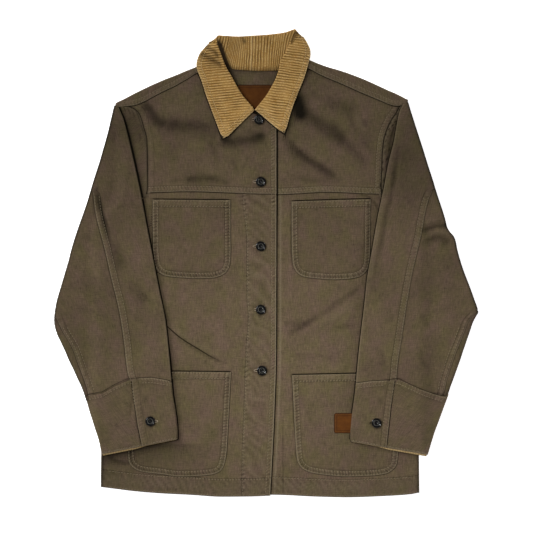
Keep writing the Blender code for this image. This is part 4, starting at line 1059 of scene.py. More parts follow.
# front yoke: laps over the front with two rows of stitches, and over the sleeve at the armhole
def yokePanel(side):
    right = side == "right"
    value = signs[side][1]
    label = side.capitalize()
    long, wide, startX = 156.0, 236.0, 17.0 if right else -35.0
    rows = ladder(long, 3.4, [(0, 2.6, 0.4), (7.5, 11, 0.7), (11, 18, 1.5), (140, 156, 1.6)])
    closeX = [(wide - 14, wide, 1.0)] + ([(0, 2.4, 0.4), (2.4, 10, 1.0)] if right else [(50, 60, 1.0)])
    across = ladder(wide, 3.4, closeX) / wide
    level = 119 + rows / long * (273 - 119)
    outer = column(body["armhole"], level, value)
    edge = np.full(len(rows), startX)
    topTable = body["top" + label]
    share = (rows / long)[:, None]
    for _ in range(6):  # the armhole's x depends on the row's own height, so it is closed in on
        x = edge[:, None] + (outer - edge)[:, None] * across[None, :]
        low, high = column(body["seam" + label], x), np.interp(x, topTable[:, 0], topTable[:, 1])
        y = low + (high - low) * share
        outer = 0.5 * outer + 0.5 * column(body["armhole"], y[:, -1], value)
    fromSeam = y - low
    plain = frontHeight(side, x, y)
    z = plain + bodyRelief(side, x, y)
    folds = creased(x, y, creases[side])
    shade, gaps = bodyShade(side, x, y)
    collarDeep, collarGap = collarShade(x, y)
    gaps = nearest(gaps, collarGap)
    # painted shade of creases and soft dents, painted shadow of the sleeve and the collar, and painted shade
    # beside the seam's second row
    dusk = creased(x, y, creases["dusk" + label], 1.0)
    paintedShadeAndTone = 0.5 * creaseShade(folds) + dusk + shade + collarDeep + 0.3 * bell(fromSeam - 10.6, 0.9)
    ropes = [(fromSeam, x, 1.7, 9.2, 0.45)]
    dip, rub = sewn(fromSeam, x, "yoke" + label)
    z += dip + edgeRound(fromSeam, 1.0) + body["lap"] * (1 - glide((fromSeam - 9) / 7)) * 0.8
    wearAndPaintedLight = 0.5 * rub + 0.6 * bell(fromSeam, 1.4) + creaseShine(folds)
    far, _, run = nearLine(x, y, bend(body["armhole"][3:, [value, 0]], 60))
    far = np.abs(far)
    dip, rub = sewn(far, run, "armhole")
    z += (dip + edgeRound(far, 0.9) + 0.55 * glide((12 - far) / 5)) * (0.35 if right else 1.0)
    wearAndPaintedLight += (0.15 if right else 0.4) * rub + (0.1 if right else 0.5) * bell(far, 1.4)
    # painted shade along the armhole seam
    paintedShadeAndTone += (0.45 if right else 0.2) * bell(far, 1.8)
    if right:
        height, rub = placketEdge(startX - x, y)
        z += height
        wearAndPaintedLight += rub
        z += -0.3 * bell(x - column(body["facing"], y), 0.9) * glide((200 - y) / 40)
        ropes.append((startX - x, y, 1.6, 7.8, 0.55))
        calm, buttonShade = besideButtons(x, y)
        z = pressed(z, plain, calm)
        paintedShadeAndTone += buttonShade
    else:
        gaps = nearest(gaps, placketLine(x, y))
        ropes.append((far, run, 1.6, 9.0, 0.4))
    toStrip = stripLine(x) - y
    shoulder = (x < -80) | (x > 60)
    z -= 0.5 * glide((3 - toStrip) / 4) * shoulder
    gaps = nearest(gaps, edgeLine(toStrip, 1.4) + 12 * ~shoulder)
    paintedShadeAndTone += 0.3 * seamShade(toStrip, 2.5) * shoulder + 0.25 * bell(far - 10.4, 0.9)
    obj = putSurface("yoke" + label, np.stack([x, y, z], -1), np.stack([x, y + 40], -1),
                     notes=clothNotes(wearAndPaintedLight, paintedShadeAndTone, gaps, *ropes), upAt=(12, 20))
    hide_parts("yoke_" + side)


# patch pocket: columns between its slanting sides, rows from the curved bottom to the mouth, the whole on the
# front's own height; its mouth stands a little open
def pocketPatch(name, spec):
    (lx, ly), (rx, ry) = spec["top"]
    outline = bend(spec["bottom"], 160)
    wide, long = rx - lx, ly - min(p[1] for p in spec["bottom"])
    fine, rim = 0.45, 2.6
    closeX = [(0, rim, fine), (rim, 26, 1.3), (wide - 26, wide - rim, 1.3), (wide - rim, wide, fine)]
    closeY = [(0, rim, fine), (rim, 12, 1.2), (long - 14, long - 2.4, 1.2), (long - 2.4, long, fine)]
    across, rows = ladder(wide, 3.4, closeX) / wide, ladder(long, 3.4, closeY) / long
    (firstX, _), (lastX, _) = spec["bottom"][0], spec["bottom"][-1]
    footX = firstX + (lastX - firstX) * across
    order = np.argsort(outline[:, 0])
    footY = np.interp(footX, outline[order, 0], outline[order, 1])
    topX, topY = lx + (rx - lx) * across, ly + (ry - ly) * across
    x = footX[None, :] + (topX - footX)[None, :] * rows[:, None]
    y = footY[None, :] + (topY - footY)[None, :] * rows[:, None]
    far, _, run = nearLine(x, y, np.concatenate([[(lx, ly)], outline, [(rx, ry)]]))
    far = np.abs(far)
    fromTop = (ly + (ry - ly) * np.clip((x - lx) / wide, 0, 1)) - y
    side = spec["side"]
    z = frontHeight(side, x, y) + body["lap"] + 0.85 * bodyRelief(side, x, y)
    dip, rub = sewn(far, run, "pocket", int(abs(lx)))
    z += (dip + edgeRound(far, 1.0)) * glide(fromTop / 2 + 0.4)
    dip, rubTop = sewn(fromTop, x, "pocketMouth", int(abs(rx)))
    z += dip + edgeRound(fromTop, 0.8) + 0.35 * glide((12 - fromTop) / 2)
    swell = glide(far / 26)
    z += 0.9 * swell * glide(fromTop / 30) + 0.8 * glide((16 - fromTop) / 16) * glide(far / 12)
    z += 0.5 * rumple(x, y, 40, int(abs(lx)) + 9) * swell
    wearAndPaintedLight = 0.6 * rub + 0.35 * rubTop + 0.75 * bell(far, 1.4) + 0.5 * bell(fromTop, 1.3)
    # painted shade beside the rows, under the mouth's hem and from the sleeve, and a darker tone on the whole
    paintedShadeAndTone = 0.35 * bell(far - 4.6, 1.6) * glide(fromTop - 2) + 0.3 * bell(far - 10.3, 1.0)
    shade, gap = bodyShade(side, x, y)
    paintedShadeAndTone += 0.3 * bell(fromTop - 12.3, 0.9) * glide(far / 3) + shade + (0.08 if "chest" in name else 0.02)
    notes = clothNotes(wearAndPaintedLight, paintedShadeAndTone, gap, (far, run, 1.7, 8.6, 1.0), (fromTop, x, 1.2, 2.6, 0.6),
                       (fromTop, x, 9.8, 12.0, 0.8))
    xyz = np.stack([x, y, z], -1)
    obj = putSurface(name, xyz, xyz[..., :2] + [7, 13], notes=notes)
    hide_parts(spec["node"])
    wide * mm
    (long + 12) * mm
    "front" + side.capitalize()
    round(wide * long * mm * mm * 0.97, 4)


# the back, which lies flat on the surface from the hem to under the back yoke
def backPanel():
    rows = ladder(535.0, 9.0, [(0, 3, 0.6), (26, 34, 1.2), (515, 535, 1.5)])
    level = rows - 385.0
    ends = []
    for sign, value, pick, inner in ((-1, 1, np.maximum, [-269, -266, -222]),
                                     (1, 2, np.minimum, [247, 244, 208])):
        end = np.where(level <= 59, column(body["sides"], level, value) - sign * 12.3,
                       column(body["armhole"], level, value) + sign * 8)
        corner = (level > 50) & (level < 110)
        ends.append(np.where(corner, pick(end, through(level, [50, 60, 110], inner)), end))
    right, left = ends
    across = ladder(530.0, 10.0, [(0, 2, 0.7), (528, 530, 0.7)]) / 530.0
    x = right[:, None] + (left - right)[:, None] * across[None, :]
    hem = np.minimum(column(body["hemRight"], x), -385) + 2
    y = np.repeat(level[:, None], len(across), 1) + (hem + 385.0) * glide(1 - rows / 120.0)[:, None]
    xyz = np.stack([x, y, 1.0 + 0.15 * rumple(x, y, 60, 41)], -1)
    obj = putSurface("backPanel", xyz, xyz[..., :2], wall=1.0)
    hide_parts("back_panel")


# the back yoke: flat under the neck, then over both shoulders and forward as a strip, open between at the
# neck
def backYoke():
    keys, foot, radius = [0, 0.5, 0.78, 0.93, 1], 147, 3.15
    steps = np.concatenate([np.linspace(0, 0.9, 18), [0.93, 0.96, 0.985, 1.0]])
    sideR = through(steps, keys, [-212, -214, -224, -243, -260])
    sideL = through(steps, keys, [205, 209, 219, 233, 243.5])
    neckR, neckL = np.full(len(steps), -88.0), np.full(len(steps), 53.0)
    parts = [np.linspace(0, 1, 46)[:-1], np.linspace(0, 1, 40)[:-1], np.linspace(0, 1, 48)]
    x = np.concatenate([start[:, None] + (end - start)[:, None] * part for start, end, part
                        in zip((sideR, neckR, neckL), (neckR, neckL, sideL), parts)], 1)
    fold = np.where(x < -20, column(body["shoulderRight"], x), column(body["shoulderLeft"], x))
    isNeck = (x > -88.01) & (x < 52.99)
    end = np.where(isNeck, column(body["backNeck"], x) + 5.0, fold - 3.0)
    y = foot + (end - foot) * steps[:, None]
    turn = np.radians([-60, -35, -10, 15, 40, 65, 90])[:, None]
    topX, foldY = x[-1][None, :], fold[-1][None, :]
    rollY = foldY - radius + radius * np.cos(turn)
    rollZ = radius + radius * np.sin(turn) + 0 * topX
    stripWide = foldY - radius - stripLine(topX)
    part = np.array([0.12, 0.25, 0.4, 0.55, 0.7, 0.8, 0.88, 0.94, 0.975, 1.0])[:, None]
    stripY = foldY - radius - stripWide * part
    toEdge = stripWide * (1 - part)
    dip, rub = sewn(toEdge, topX + 0 * part, "shoulder")
    more = len(turn) + len(part)
    allX = np.concatenate([x, np.repeat(topX, more, 0)])
    allY = np.concatenate([y, rollY, stripY])
    allZ = np.concatenate([0 * x, rollZ, 2 * radius + dip + edgeRound(toEdge, 0.9)])
    wearAndPaintedLight = np.concatenate([0 * x, 0 * rollZ, 0.5 * rub + 0.6 * bell(toEdge, 1.4)])
    flatY = np.concatenate([y, y[-1:] + np.arange(1, more + 1)[:, None] * 1.4])
    keep = np.ones((allX.shape[0] - 1, allX.shape[1] - 1), bool)
    keep[len(steps) - 1:, 45:84] = False
    leafRight = -nearLine(allX, allY, bend(body["neckRight"], 20))[0]
    leafLeft = nearLine(allX, allY, bend(body["neckLeft"], 20))[0]
    inside = (np.arange(len(allY)) < len(steps))[:, None] & isNeck[:1]
    # painted shadow of the collar's leaves and of the neck on the inside of the back
    shade = 0.5 * fade(leafRight, 5) + 0.35 * fade(leafLeft, 4) + 0.3 * fade(331 - allY, 5)
    gaps = np.where(inside, nearest(edgeLine(leafRight, 2.0), edgeLine(leafLeft, 1.4)), 10.0)
    away = np.concatenate([np.full((len(steps) + len(turn), allX.shape[1]), 99.0), toEdge + 0 * stripY])
    notes = clothNotes(wearAndPaintedLight, np.where(inside, shade, 0), gaps, (away, allX, 1.7, 8.8, 0.35))
    # the grid starts under the back and comes forward, so its columns are turned round
    notes = {key: values[:, ::-1] for key, values in notes.items()}
    obj = putSurface("backYoke", np.stack([allX, allY, allZ], -1)[:, ::-1],
                     np.stack([allX, flatY], -1)[:, ::-1],
                     wall=1.0, keep=keep[:, ::-1], notes=notes, upAt=(len(steps) + 10, 20))
    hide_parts("back_yoke")


backPanel()
backYoke()
for wearerSide in signs:
    frontPanel(wearerSide)
    yokePanel(wearerSide)
for pocketName, pocketSpec in pockets.items():
    pocketPatch(pocketName, pocketSpec)
print("body ready")

# y, x right, x left of the edge over which a sleeve comes down beside the yoke
armEdge = np.array([(59, -283, 261), (80, -272, 250), (101, -248, 236), (130, -236, 224), (170, -235, 219),
                    (209, -233, 225), (235, -235, 228), (250, -239, 232), (262, -243, 235), (273, -248, 239)])


# what the sleeves lie on: the body, its pocket and label near the cuffs, then down to the floor beside it
def restHeight(side, x, y):
    right = side == "right"
    sign, value = signs[side]
    top = body["frontTop" if right else "underTop"]
    extra = (2.5 if right else 3.4) * glide((-135 - y) / 35) + 0.9 * glide((65 - np.abs(y)) / 30)
    extra = extra + 1.6 * glide((142 - y) / 7) * glide((y - 93) / 8)
    edge = sign * np.where(y > 59, column(armEdge, y, value), column(body["sides"], y, value))
    drop = glide((sign * x - edge - 1.0) / 28)
    slope = (1.5 if right else 0.9) * glide((y - 245) / 35)
    return (top + extra - slope) * (1 - drop)


# places at the lengths at, on every row's own line at once
def alongRows(rows, at):
    points, length = rows["points"], rows["length"]
    shift = np.arange(len(points))[:, None] * (length.max() + 10)
    places, flat = (np.clip(at, 0, length[:, -1:]) + shift).ravel(), (length + shift).ravel()
    return np.stack([np.interp(places, flat, points[..., i].ravel()).reshape(at.shape) for i in range(3)], -1)


# the section of a sleeve or cuff: a line through the inner and the outer fold of each row, on which s counts
# millimetres from the inner fold
class Section:
    def __init__(self, side, outerY, innerY, beyond=0.0):
        spec = sleeves[side]
        sign = signs[side][0]
        self.side = side
        self.oy, self.iy = outerY, innerY
        ox = column(spec["outer"], outerY) + sign * -8.0 * beyond
        ix = column(spec["inner"], innerY) + sign * 4 * beyond
        self.wide = np.hypot(ox - ix, outerY - innerY)
        self.wx, self.wy = (ox - ix) / self.wide, (outerY - innerY) / self.wide
        self.ix = ix

    def place(self, s):
        return self.ix[:, None] + self.wx[:, None] * s, self.iy[:, None] + self.wy[:, None] * s

    # height of what lies below
    def base(self, s):
        return restHeight(self.side, *self.place(s)) + body["gap"]


# every row across the sleeve as a dense line: from the hidden turned end round the inner fold, over the top,
# round the outer fold and back below; with the lengths at which it passes the seam and the folds
def tubeRows(side, count):
    spec = sleeves[side]
    sign, value = signs[side]
    key = spec["rows"]
    last = len(key) - 1
    at = np.linspace(0, last, count)
    dense = len(key) - 2.15
    at = np.concatenate([at[at < dense], np.linspace(dense, last, 34)])
    oy, iy = (through(at, np.arange(last + 1), key[:, k]) for k in (0, 1))
    oy, iy = np.append(oy, oy[-1] - 6), np.append(iy, iy[-1] - 6)  # one row more, under the cuff
    rows = Section(side, oy, iy)
    wide = rows.wide[:, None]
    thick, thin = sleeves["thick"], sleeves["hookThick"]
    radius, big = thin / 2, thick / 2
    hook = np.minimum(sleeves["hook"], 0.42 * wide)
    turn = np.radians(np.linspace(-90, 90, 13))
    share = np.linspace(0, 1, 61)
    underEnd = np.where(iy > 112, -sign * (rows.ix - column(body["armhole"], iy, value)) - 5.0, 4.0)[:, None]
    ones = np.ones((len(iy), 1))
    turned = radius + hook - hook * np.linspace(0, 1, 6)[None, :-1]
    innerFold = radius - radius * np.cos(turn)[None, :] * ones
    over = radius + (wide - big - radius) * share[None, 1:-1]
    outerFold = wide - big + big * np.cos(turn[::-1])[None, :]
    under = wide - big + (underEnd - wide + big) * share[None, 1:]
    x, y = rows.place(over)
    calm = glide((over - radius) / 9) * glide((wide - big - over) / 7)
    puff = sleeves["crown"] * np.sin(np.pi * share[None, 1:-1]) ** 0.8 * np.minimum(1, wide / 70)
    slow = 0.8 * rumple(x, y, 60, 50 + value) + 0.35 * rumple(x, y, 28, 53)
    relief = (creased(x, y, creases["sleeve" + side.capitalize()]) + slow) * calm + puff
    step = thick - thin
    z = [rows.base(turned) + step, rows.base(radius * ones) + step + radius + radius * np.sin(turn)[None, :],
         rows.base(over) + thick + relief, rows.base(wide - big) + big + big * np.sin(turn[::-1])[None, :],
         rows.base(under)]
    s = np.concatenate([turned, innerFold, over, outerFold, under], 1)
    points = np.stack([*rows.place(s), np.maximum(np.concatenate(z, 1), 0.0)], -1)
    length = rowLengths(points)
    topFrom = turned.shape[1] + len(turn)
    topTo = topFrom + over.shape[1]
    inner, outer = length[:, topFrom - 7], length[:, topTo + 6]
    # the length at which a row crosses the seam: the seam's x at the height where they meet
    top = points[:, topFrom:topTo]
    offset = sign * (top[..., 0] - column(spec["seam"], top[..., 1]))
    crossing = np.clip(np.argmax(offset > 0, axis=1), 1, None)
    here = np.arange(len(wide))
    o0, o1 = offset[here, crossing - 1], offset[here, crossing]
    part = np.clip(-o0 / np.where(np.abs(o1 - o0) < 1e-6, 1, o1 - o0), 0, 1)
    l0, l1 = length[here, topFrom + crossing - 1], length[here, topFrom + crossing]
    upper = (oy + iy) / 2 > spec["seamEnds"]
    seam = np.where(~(offset > 0).any(1) | upper, outer + 0.5, l0 + (l1 - l0) * part)
    return {"points": points, "length": length, "seam": np.minimum(seam, outer + 0.5)[:, None],
            "inner": inner[:, None], "outer": outer[:, None],
            "back": (outer - column(spec["back"], oy))[:, None],
            "down": (-(oy + iy) / 2)[:, None], "upper": upper[:, None]}


# height of the cuff's upper edge over x
def cuffTop(side, x):
    line = cuffs[side]["top"]
    return np.interp(x, line[:, 0], line[:, 1])


# a sleeve is darker towards the shoulder, in broad patches
def duller(xyz):
    x, y = xyz[..., 0], xyz[..., 1]
    return 0.19 * glide((y - 0) / 170) + 0.05 + 0.12 * rumple(x, y, 46, 72)


# one piece of a sleeve: its creases, its outer fold and the cuff's edge get their painted shade, and where
# onTop says that it is seen, its last rows go down under the cuff
def sleevePiece(name, node, side, rows, at, xyz, wearAndPaintedLight, paintedShadeAndTone, gap, onTop, shift, band, upAt, restsOn):
    outer = rows["outer"]
    # painted shade where the cloth turns round the outer fold, and a darker tone towards the shoulder
    paintedShadeAndTone = paintedShadeAndTone + 0.7 * bell(outer - at - 1.5, 2.6) + duller(xyz)
    toCuff = cuffTop(side, xyz[..., 0]) - xyz[..., 1]
    paintedShadeAndTone = paintedShadeAndTone + 0.25 * seamShade(-toCuff)
    gap = nearest(edgeLine(-toCuff, 1.0), *gap)
    if onTop is not None:
        folds = creased(xyz[..., 0], xyz[..., 1], creases["sleeve" + side.capitalize()])
        paintedShadeAndTone, wearAndPaintedLight = paintedShadeAndTone + creaseShade(folds), wearAndPaintedLight + creaseShine(folds)
        ends = glide(np.arange(len(at))[::-1][:, None] / 2.0)
        xyz[..., 2] -= (1.0 * (1 - ends) + 3.0 * glide((toCuff - 1.0) / 5)) * onTop
    cloth = np.stack([at, np.repeat(rows["down"], at.shape[1], 1)], -1) + shift
    obj = putSurface(name + side.capitalize(), xyz, cloth, notes=clothNotes(wearAndPaintedLight, paintedShadeAndTone, gap, *band),
                     upAt=upAt)
    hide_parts(node + side)
    restsOn + side.capitalize()


# columns between two groups of columns, evenly spaced
def between(first, last, count):
    return first + (last - first) * np.linspace(0, 1, count)[None, 1:-1]


# front piece of a sleeve: hook, inner fold, top up to its lapped edge
def sleeveFront(side, rows):
    seam, inner, down = rows["seam"], rows["inner"], rows["down"]
    reach, fold = 24, 5.0
    fromEdge = np.array([24, 20, 16.5, 13.5, 12, 11, 10.2, 9.6, 9.0, 8.2, 7, 5.5, 4, 3, 2.3, 1.8, 1.3, 0.8,
                         0.4, 0.0])
    squeeze = np.minimum(1, (seam - (inner + fold)) * 0.55 / reach)
    tail = seam - fromEdge[None, :] * squeeze
    at = np.concatenate([(inner - 3.6) * np.linspace(0, 1, 5)[None, :],
                         inner + np.linspace(-2.6, fold, 9)[None, :],
                         between(inner + fold, tail[:, :1], 24), tail], 1)
    xyz = alongRows(rows, at)
    far, run = (seam - at) / np.maximum(squeeze, 0.3), down + 0 * at
    dip, rub = sewn(far, run, "sleeveFront" + side.capitalize())
    lapOn = glide((20 - far) / 8) * (at > inner + fold) * glide((sleeves[side]["seamEnds"] + 8 + down) / 14)
    xyz[..., 2] += (0.9 + dip + edgeRound(far, 1.0)) * lapOn
    # a painted highlight along the inner fold, and painted shade where the cloth turns under it
    wearAndPaintedLight = (0.3 * rub + 0.7 * bell(far, 1.3)) * lapOn + 0.25 * bell(at - inner - 1, 2.5)
    paintedShadeAndTone = 0.35 * lapOn * bell(far - 11.8, 1.0) + 0.25 * glide((inner + 1.0 - at) / 3)
    sleevePiece("sleeveFront", "sleeve_front_", side, rows, at, xyz, wearAndPaintedLight, paintedShadeAndTone, [], at > inner + 3, 0.0,
                [(far, run, 1.6, 10.0, 0.3 * lapOn)], (40, 25), "front")


# elbow piece: from under that lap to its own lapped edge near the outer fold
def sleeveElbow(side, rows):
    part = slice(max(int(np.argmax(~rows["upper"])) - 1, 0), None)
    rows = {key: values[part] for key, values in rows.items()}
    seam, back, outer, down = rows["seam"], rows["back"], rows["outer"], rows["down"]
    stop = np.maximum(back, seam + 0.8)
    span = stop - seam
    squeeze = np.minimum(1, span * 0.5 / 16)
    headAt = np.array([0, 2, 3.6, 4.6, 5.2, 6.0, 7.0, 8.5])[None, :]
    tailAt = np.array([16, 13, 11, 10, 9.2, 8.4, 7, 5, 3.5, 2.4, 1.8, 1.2, 0.7, 0.3, 0.0])[None, :]
    head, tail = seam - 5.0 + headAt * np.minimum(1, (span + 5) * 0.4 / 8.5), stop - tailAt * squeeze
    at = np.concatenate([head, between(head[:, -1:], tail[:, :1], 30), tail], 1)
    xyz = alongRows(rows, at)
    fromSeam = at - seam
    xyz[..., 2] -= 1.1 * glide((1.6 - fromSeam) / 2.4)
    far, run = (stop - at) / np.maximum(squeeze, 0.3), down + 0 * at
    shows = glide((outer - back - 1) / 4)
    dip, rub = sewn(far, run, "sleeveElbow")
    xyz[..., 2] += (0.7 * glide((18 - far) / 8) + dip + edgeRound(far, 0.9)) * shows
    wearAndPaintedLight = (0.28 * rub + 0.7 * bell(far, 1.3)) * shows
    paintedShadeAndTone = seamShade(fromSeam) * 0.25 + 0.3 * shows * bell(far - 11, 1.0)
    sleevePiece("sleeveElbow", "sleeve_elbow_", side, rows, at, xyz, wearAndPaintedLight, paintedShadeAndTone, [edgeLine(fromSeam, 0.8)],
                at < outer - 2, [3.7, 1.3], [(far, run, 1.6, 9.2, 0.3 * shows)], (40, 20),
                "sleeveFront")


# pleats of the sleeve beside the armhole: their wave, and the shade in them
def armholePleats(side, x, y, run, beside):
    if side == "left":  # a chain of oval puckers with a dark crease between two
        chain = np.abs(np.cos(np.pi * (run / 10.0 + 0.06 * beside + 0.25 * rumple(run, run * 0, 20, 71))))
        return 2 * chain ** 0.6 - 1, 0.75 * glide(1 - chain * 2.6) + 0.5 * bell(beside - 10.5, 1.2)
    # fine pleats that run with the fold
    pleat = wave((x - column(sleeves[side]["inner"], y)) / 6.2 + 0.2 * rumple(y, run * 0, 26, 71))
    return pleat * 0.45 * glide((y - 180) / 40), 0.30 * glide(-pleat * 1.6 - 0.6) * glide((y - 190) / 30)


# under piece: from the outer fold below to the armhole, where its edge goes under the yoke
def sleeveUnder(side, rows):
    outer, back = rows["outer"], rows["back"]
    sign, value = signs[side]
    start = np.where(back < outer, back, outer - 0.5) - np.where(back < outer - 1, 4.0, 0.0)
    start = np.where(rows["upper"], outer + 0.2, start)
    end = rows["length"][:, -1:]
    headAt = np.array([0, 2.0, 3.4, 4.4, 5.4, 6.6, 8, 10, 12.5, 15, 18, 21])[None, :]
    tailAt = np.array([24, 20, 16.5, 13.5, 11, 9, 7, 5.8, 4.8, 3.6, 2.4, 1.2, 0.0])[None, :]
    head = start + headAt * np.minimum(1, (end - start) * 0.3 / 21)
    tail = end - tailAt * np.minimum(1, (end - start) * 0.4 / 24)
    at = np.concatenate([head, between(head[:, -1:], tail[:, :1], 26), tail], 1)
    xyz = alongRows(rows, at)
    xyz[..., 2] -= 1.1 * (glide((1.6 - (at - back)) / 2.4) * (at < outer + 2) * (back < outer - 1))
    # beside the armhole the cloth shows: it dips under the yoke's edge and puckers along that seam, with
    # painted highlights on the puckers, painted shade between them and the painted shadow of the yoke and the
    # sleeve
    x, y = xyz[..., 0], xyz[..., 1]
    close = (y > 112) & (at > outer + 8)
    far, _, run = nearLine(x, y, bend(body["armhole"][3:, [value, 0]], 60))
    beside = np.where(close, np.abs(far), 99.0)
    over = close & (sign * (x - column(body["armhole"], y, value)) < 0)
    pleat, pleatShade = armholePleats(side, x, y, run, beside)
    sleeveDeep, sleeveGap = bodyShade(side, x, y)
    xyz[..., 2] += np.where(close, 0.75 * pleat * glide(beside / 2) * glide((15 - beside) / 5), 0)
    xyz[..., 2] -= np.where(close, np.where(over, 1.5, 1.5 * glide((4.0 - beside) / 4.0)), 0)
    wearAndPaintedLight = np.where(close, 0.5 * bell(beside - 3, 2.5) * (0.5 + 0.5 * pleat), 0)
    lapped = (back < outer - 1) & (at < outer + 4)
    gap = [np.where(lapped, edgeLine(at - back, 0.8), 10.0),
           np.where(close, nearest(sleeveGap, edgeLine(beside, 1.2)), 10.0)]
    paintedShadeAndTone = np.where(close, 0.4 * seamShade(beside) + pleatShade * glide((14 - beside) / 3) + sleeveDeep, 0)
    paintedShadeAndTone += 0.25 * seamShade(at - back) * lapped
    sleevePiece("sleeveUnder", "sleeve_under_", side, rows, at, xyz, wearAndPaintedLight, paintedShadeAndTone, gap, None, [9.1, 4.7], [],
                (2, at.shape[1] - 4), "front")


# rows of a cuff: a band whose upper end laps on its own lower end; inset shrinks it for the facing. kind
# numbers the columns: 1 over the lap, 2 and 4 the folds, 3 below, 5 on top up to under the lap
def cuffRows(side, parts, inset, extra):
    spec = sleeves[side]
    outerEnds, innerEnds = cuffs[side]["rows"].T
    thick, rise, lap = sleeves["thick"], cuffs["rise"], cuffs["lap"]
    parts = np.asarray(parts, float)
    rows = Section(side, outerEnds[0] + (outerEnds[1] - outerEnds[0]) * parts,
                   innerEnds[0] + (innerEnds[1] - innerEnds[0]) * parts, np.maximum(parts - 1, 0))
    seam = (column(spec["seam"], (rows.oy + rows.iy) / 2) - rows.ix) / rows.wx
    for _ in range(3):
        seam = (column(spec["seam"], rows.iy + rows.wy * seam) - rows.ix) / rows.wx
    seam, wide = seam[:, None], rows.wide[:, None]
    lowR, bigR = (thick + rise) / 2 - inset, thick / 2 - inset
    first, last = (thick + rise) / 2, wide - thick / 2
    turn = np.radians(np.linspace(90, -90, 13))
    ones = np.ones(wide.shape)
    edgeMarks = np.array([0, 0.4, 0.9, 1.6, 2.4, 4, 6, 8, 9.2, 10, 11, 13])
    start = seam - extra
    s = [np.concatenate([start - edgeMarks[None, :], between(start - 13, first, 16)], 1),
         first - lowR * np.cos(turn)[None, :] * ones, between(first, last, 24),
         last + bigR * np.cos(turn[::-1])[None, :],
         last + (seam - lap + extra / 2 - last) * np.linspace(0, 1, 34)[None, 1:]]
    z = [rows.base(s[0]) + thick + rise - inset, rows.base(first * ones) + first
         + lowR * np.sin(turn)[None, :],
         rows.base(s[2]) + inset, rows.base(last) + thick / 2 + bigR * np.sin(turn[::-1])[None, :],
         rows.base(s[4]) + thick - inset]
    kind = np.concatenate([np.full(part.shape[1], k + 1) for k, part in enumerate(s)])[None, :]
    s = np.concatenate(s, 1)
    return np.stack([*rows.place(s), np.concatenate(z, 1)], -1), s, kind, seam, wide


# cuff: two rows of stitches along its top, one along its end, and the lap with its own two
def cuffPiece(side):
    label = side.capitalize()
    long = 100.0
    marks = ladder(long, 3.2, [(0, 2.6, 0.45), (6.6, 10, 0.8), (long - 4.5, long, 0.45)])
    xyz, s, kind, seam, wide = cuffRows(side, marks / long, 0.0, 0.0)
    down = marks[:, None] + 0 * s
    onLap, below = (kind == 1) + 0.0 * s, kind == 5
    isTop = ((kind == 1) | below) + 0.0 * s
    shift = (cuffTop(side, xyz[0, :, 0]) - xyz[0, :, 1])[None, :] * (1 - glide(down / 70))
    xyz[..., 1] += shift * (isTop + (kind == 4) * 0.5 + (kind == 2) * 0.5)
    x, y, z = xyz[..., 0], xyz[..., 1], xyz[..., 2]
    relief = creased(x, y, creases["sleeve" + label]) * isTop + 0.35 * rumple(x, y, 30, 81) * isTop
    dip, rub = sewn(down, s, "cuffTop")
    low, rubLow = sewn(long - down, s, "cuffEnd")
    fromLap = seam - s
    lapDip, rubLap = sewn(fromLap, down, "cuffLap")
    z += relief * glide(down / 6)
    z += (dip + edgeRound(down, 0.9) + low + edgeRound(long - down, 0.8)) * (isTop + 0.6 * (1 - isTop))
    z += (lapDip + edgeRound(fromLap, 1.0)) * onLap
    z += 0.8 * glide((10 - down) / 3) * isTop * 0.6
    crown = below * 0.9 * np.sin(np.pi * np.clip((s - seam) / (wide - seam), 0, 1))
    z += crown * glide(down / 15) * glide((long - down) / 10)
    z -= 0.9 * glide((2.0 + seam - s) / 3.0) * below
    np.maximum(z, 0.2, out=z)
    wearAndPaintedLight = (0.4 * rub + 0.65 * bell(down, 1.5) + 0.7 * bell(long - down, 1.6) + 0.3 * rubLow
            + onLap * (0.35 * rubLap + 0.6 * bell(fromLap, 1.4)))
    # painted shade beside the rows and under the lap, and the buttons' painted shade
    paintedShadeAndTone = 0.3 * isTop * bell(down - 10.2, 0.9) + 0.3 * onLap * bell(fromLap - 11.4, 0.9)
    paintedShadeAndTone += 0.4 * seamShade(s - seam) * below + besideButtons(x, y, True)[1] * isTop + 0.07
    gap = np.where(below, edgeLine(s - seam, 1.3), 10.0)
    notes = clothNotes(wearAndPaintedLight, paintedShadeAndTone, gap, (down, s, 1.8, 8.4, 0.4 * isTop),
                       (long - down, s, 1.4, 3.4, 0.6 * isTop), (fromLap, down, 1.6, 9.6, 0.4 * onLap))
    obj = putSurface("cuff" + label, xyz, np.stack([rowLengths(xyz), down], -1), notes=notes, upAt=(20, 4))
    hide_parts(cuffs[side]["node"])


# corduroy facing inside the cuff, a thin pale line below its edge that hides under the cuff's lower half
def cuffFacing(side):
    label = side.capitalize()
    parts = np.array([0.84, 0.88, 0.92, 0.96, 1.0, 1.012, 1.02, 1.024])
    xyz, s, _, _, _ = cuffRows(side, parts, cuffs["inset"], cuffs["lap"] + 2)
    xyz[..., 2] += edgeRound((parts[-1] - parts)[:, None] * 100 + 0 * s, 0.5)
    hidden = glide((xyz[..., 0] + 228) / 24) if side == "right" else glide((212 - xyz[..., 0]) / 24)
    xyz[..., 1] += 2.1 * hidden * (parts > 0.97)[:, None]
    notes = {"wearAndPaintedLight": 0.9 + 0 * s, "paintedShadeAndTone": 0.5 + 0 * s, "grooveShade": 0.3 + 0 * s, "phase": (s / 4.5 + 20) / 200}
    obj = putSurface("cuffFacing" + label, xyz, np.stack([s, parts[:, None] * 100 + 0 * s], -1), corduroy,
                     "corduroy", notes=notes, upAt=(3, 16))
    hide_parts("cuff_facing_" + side)


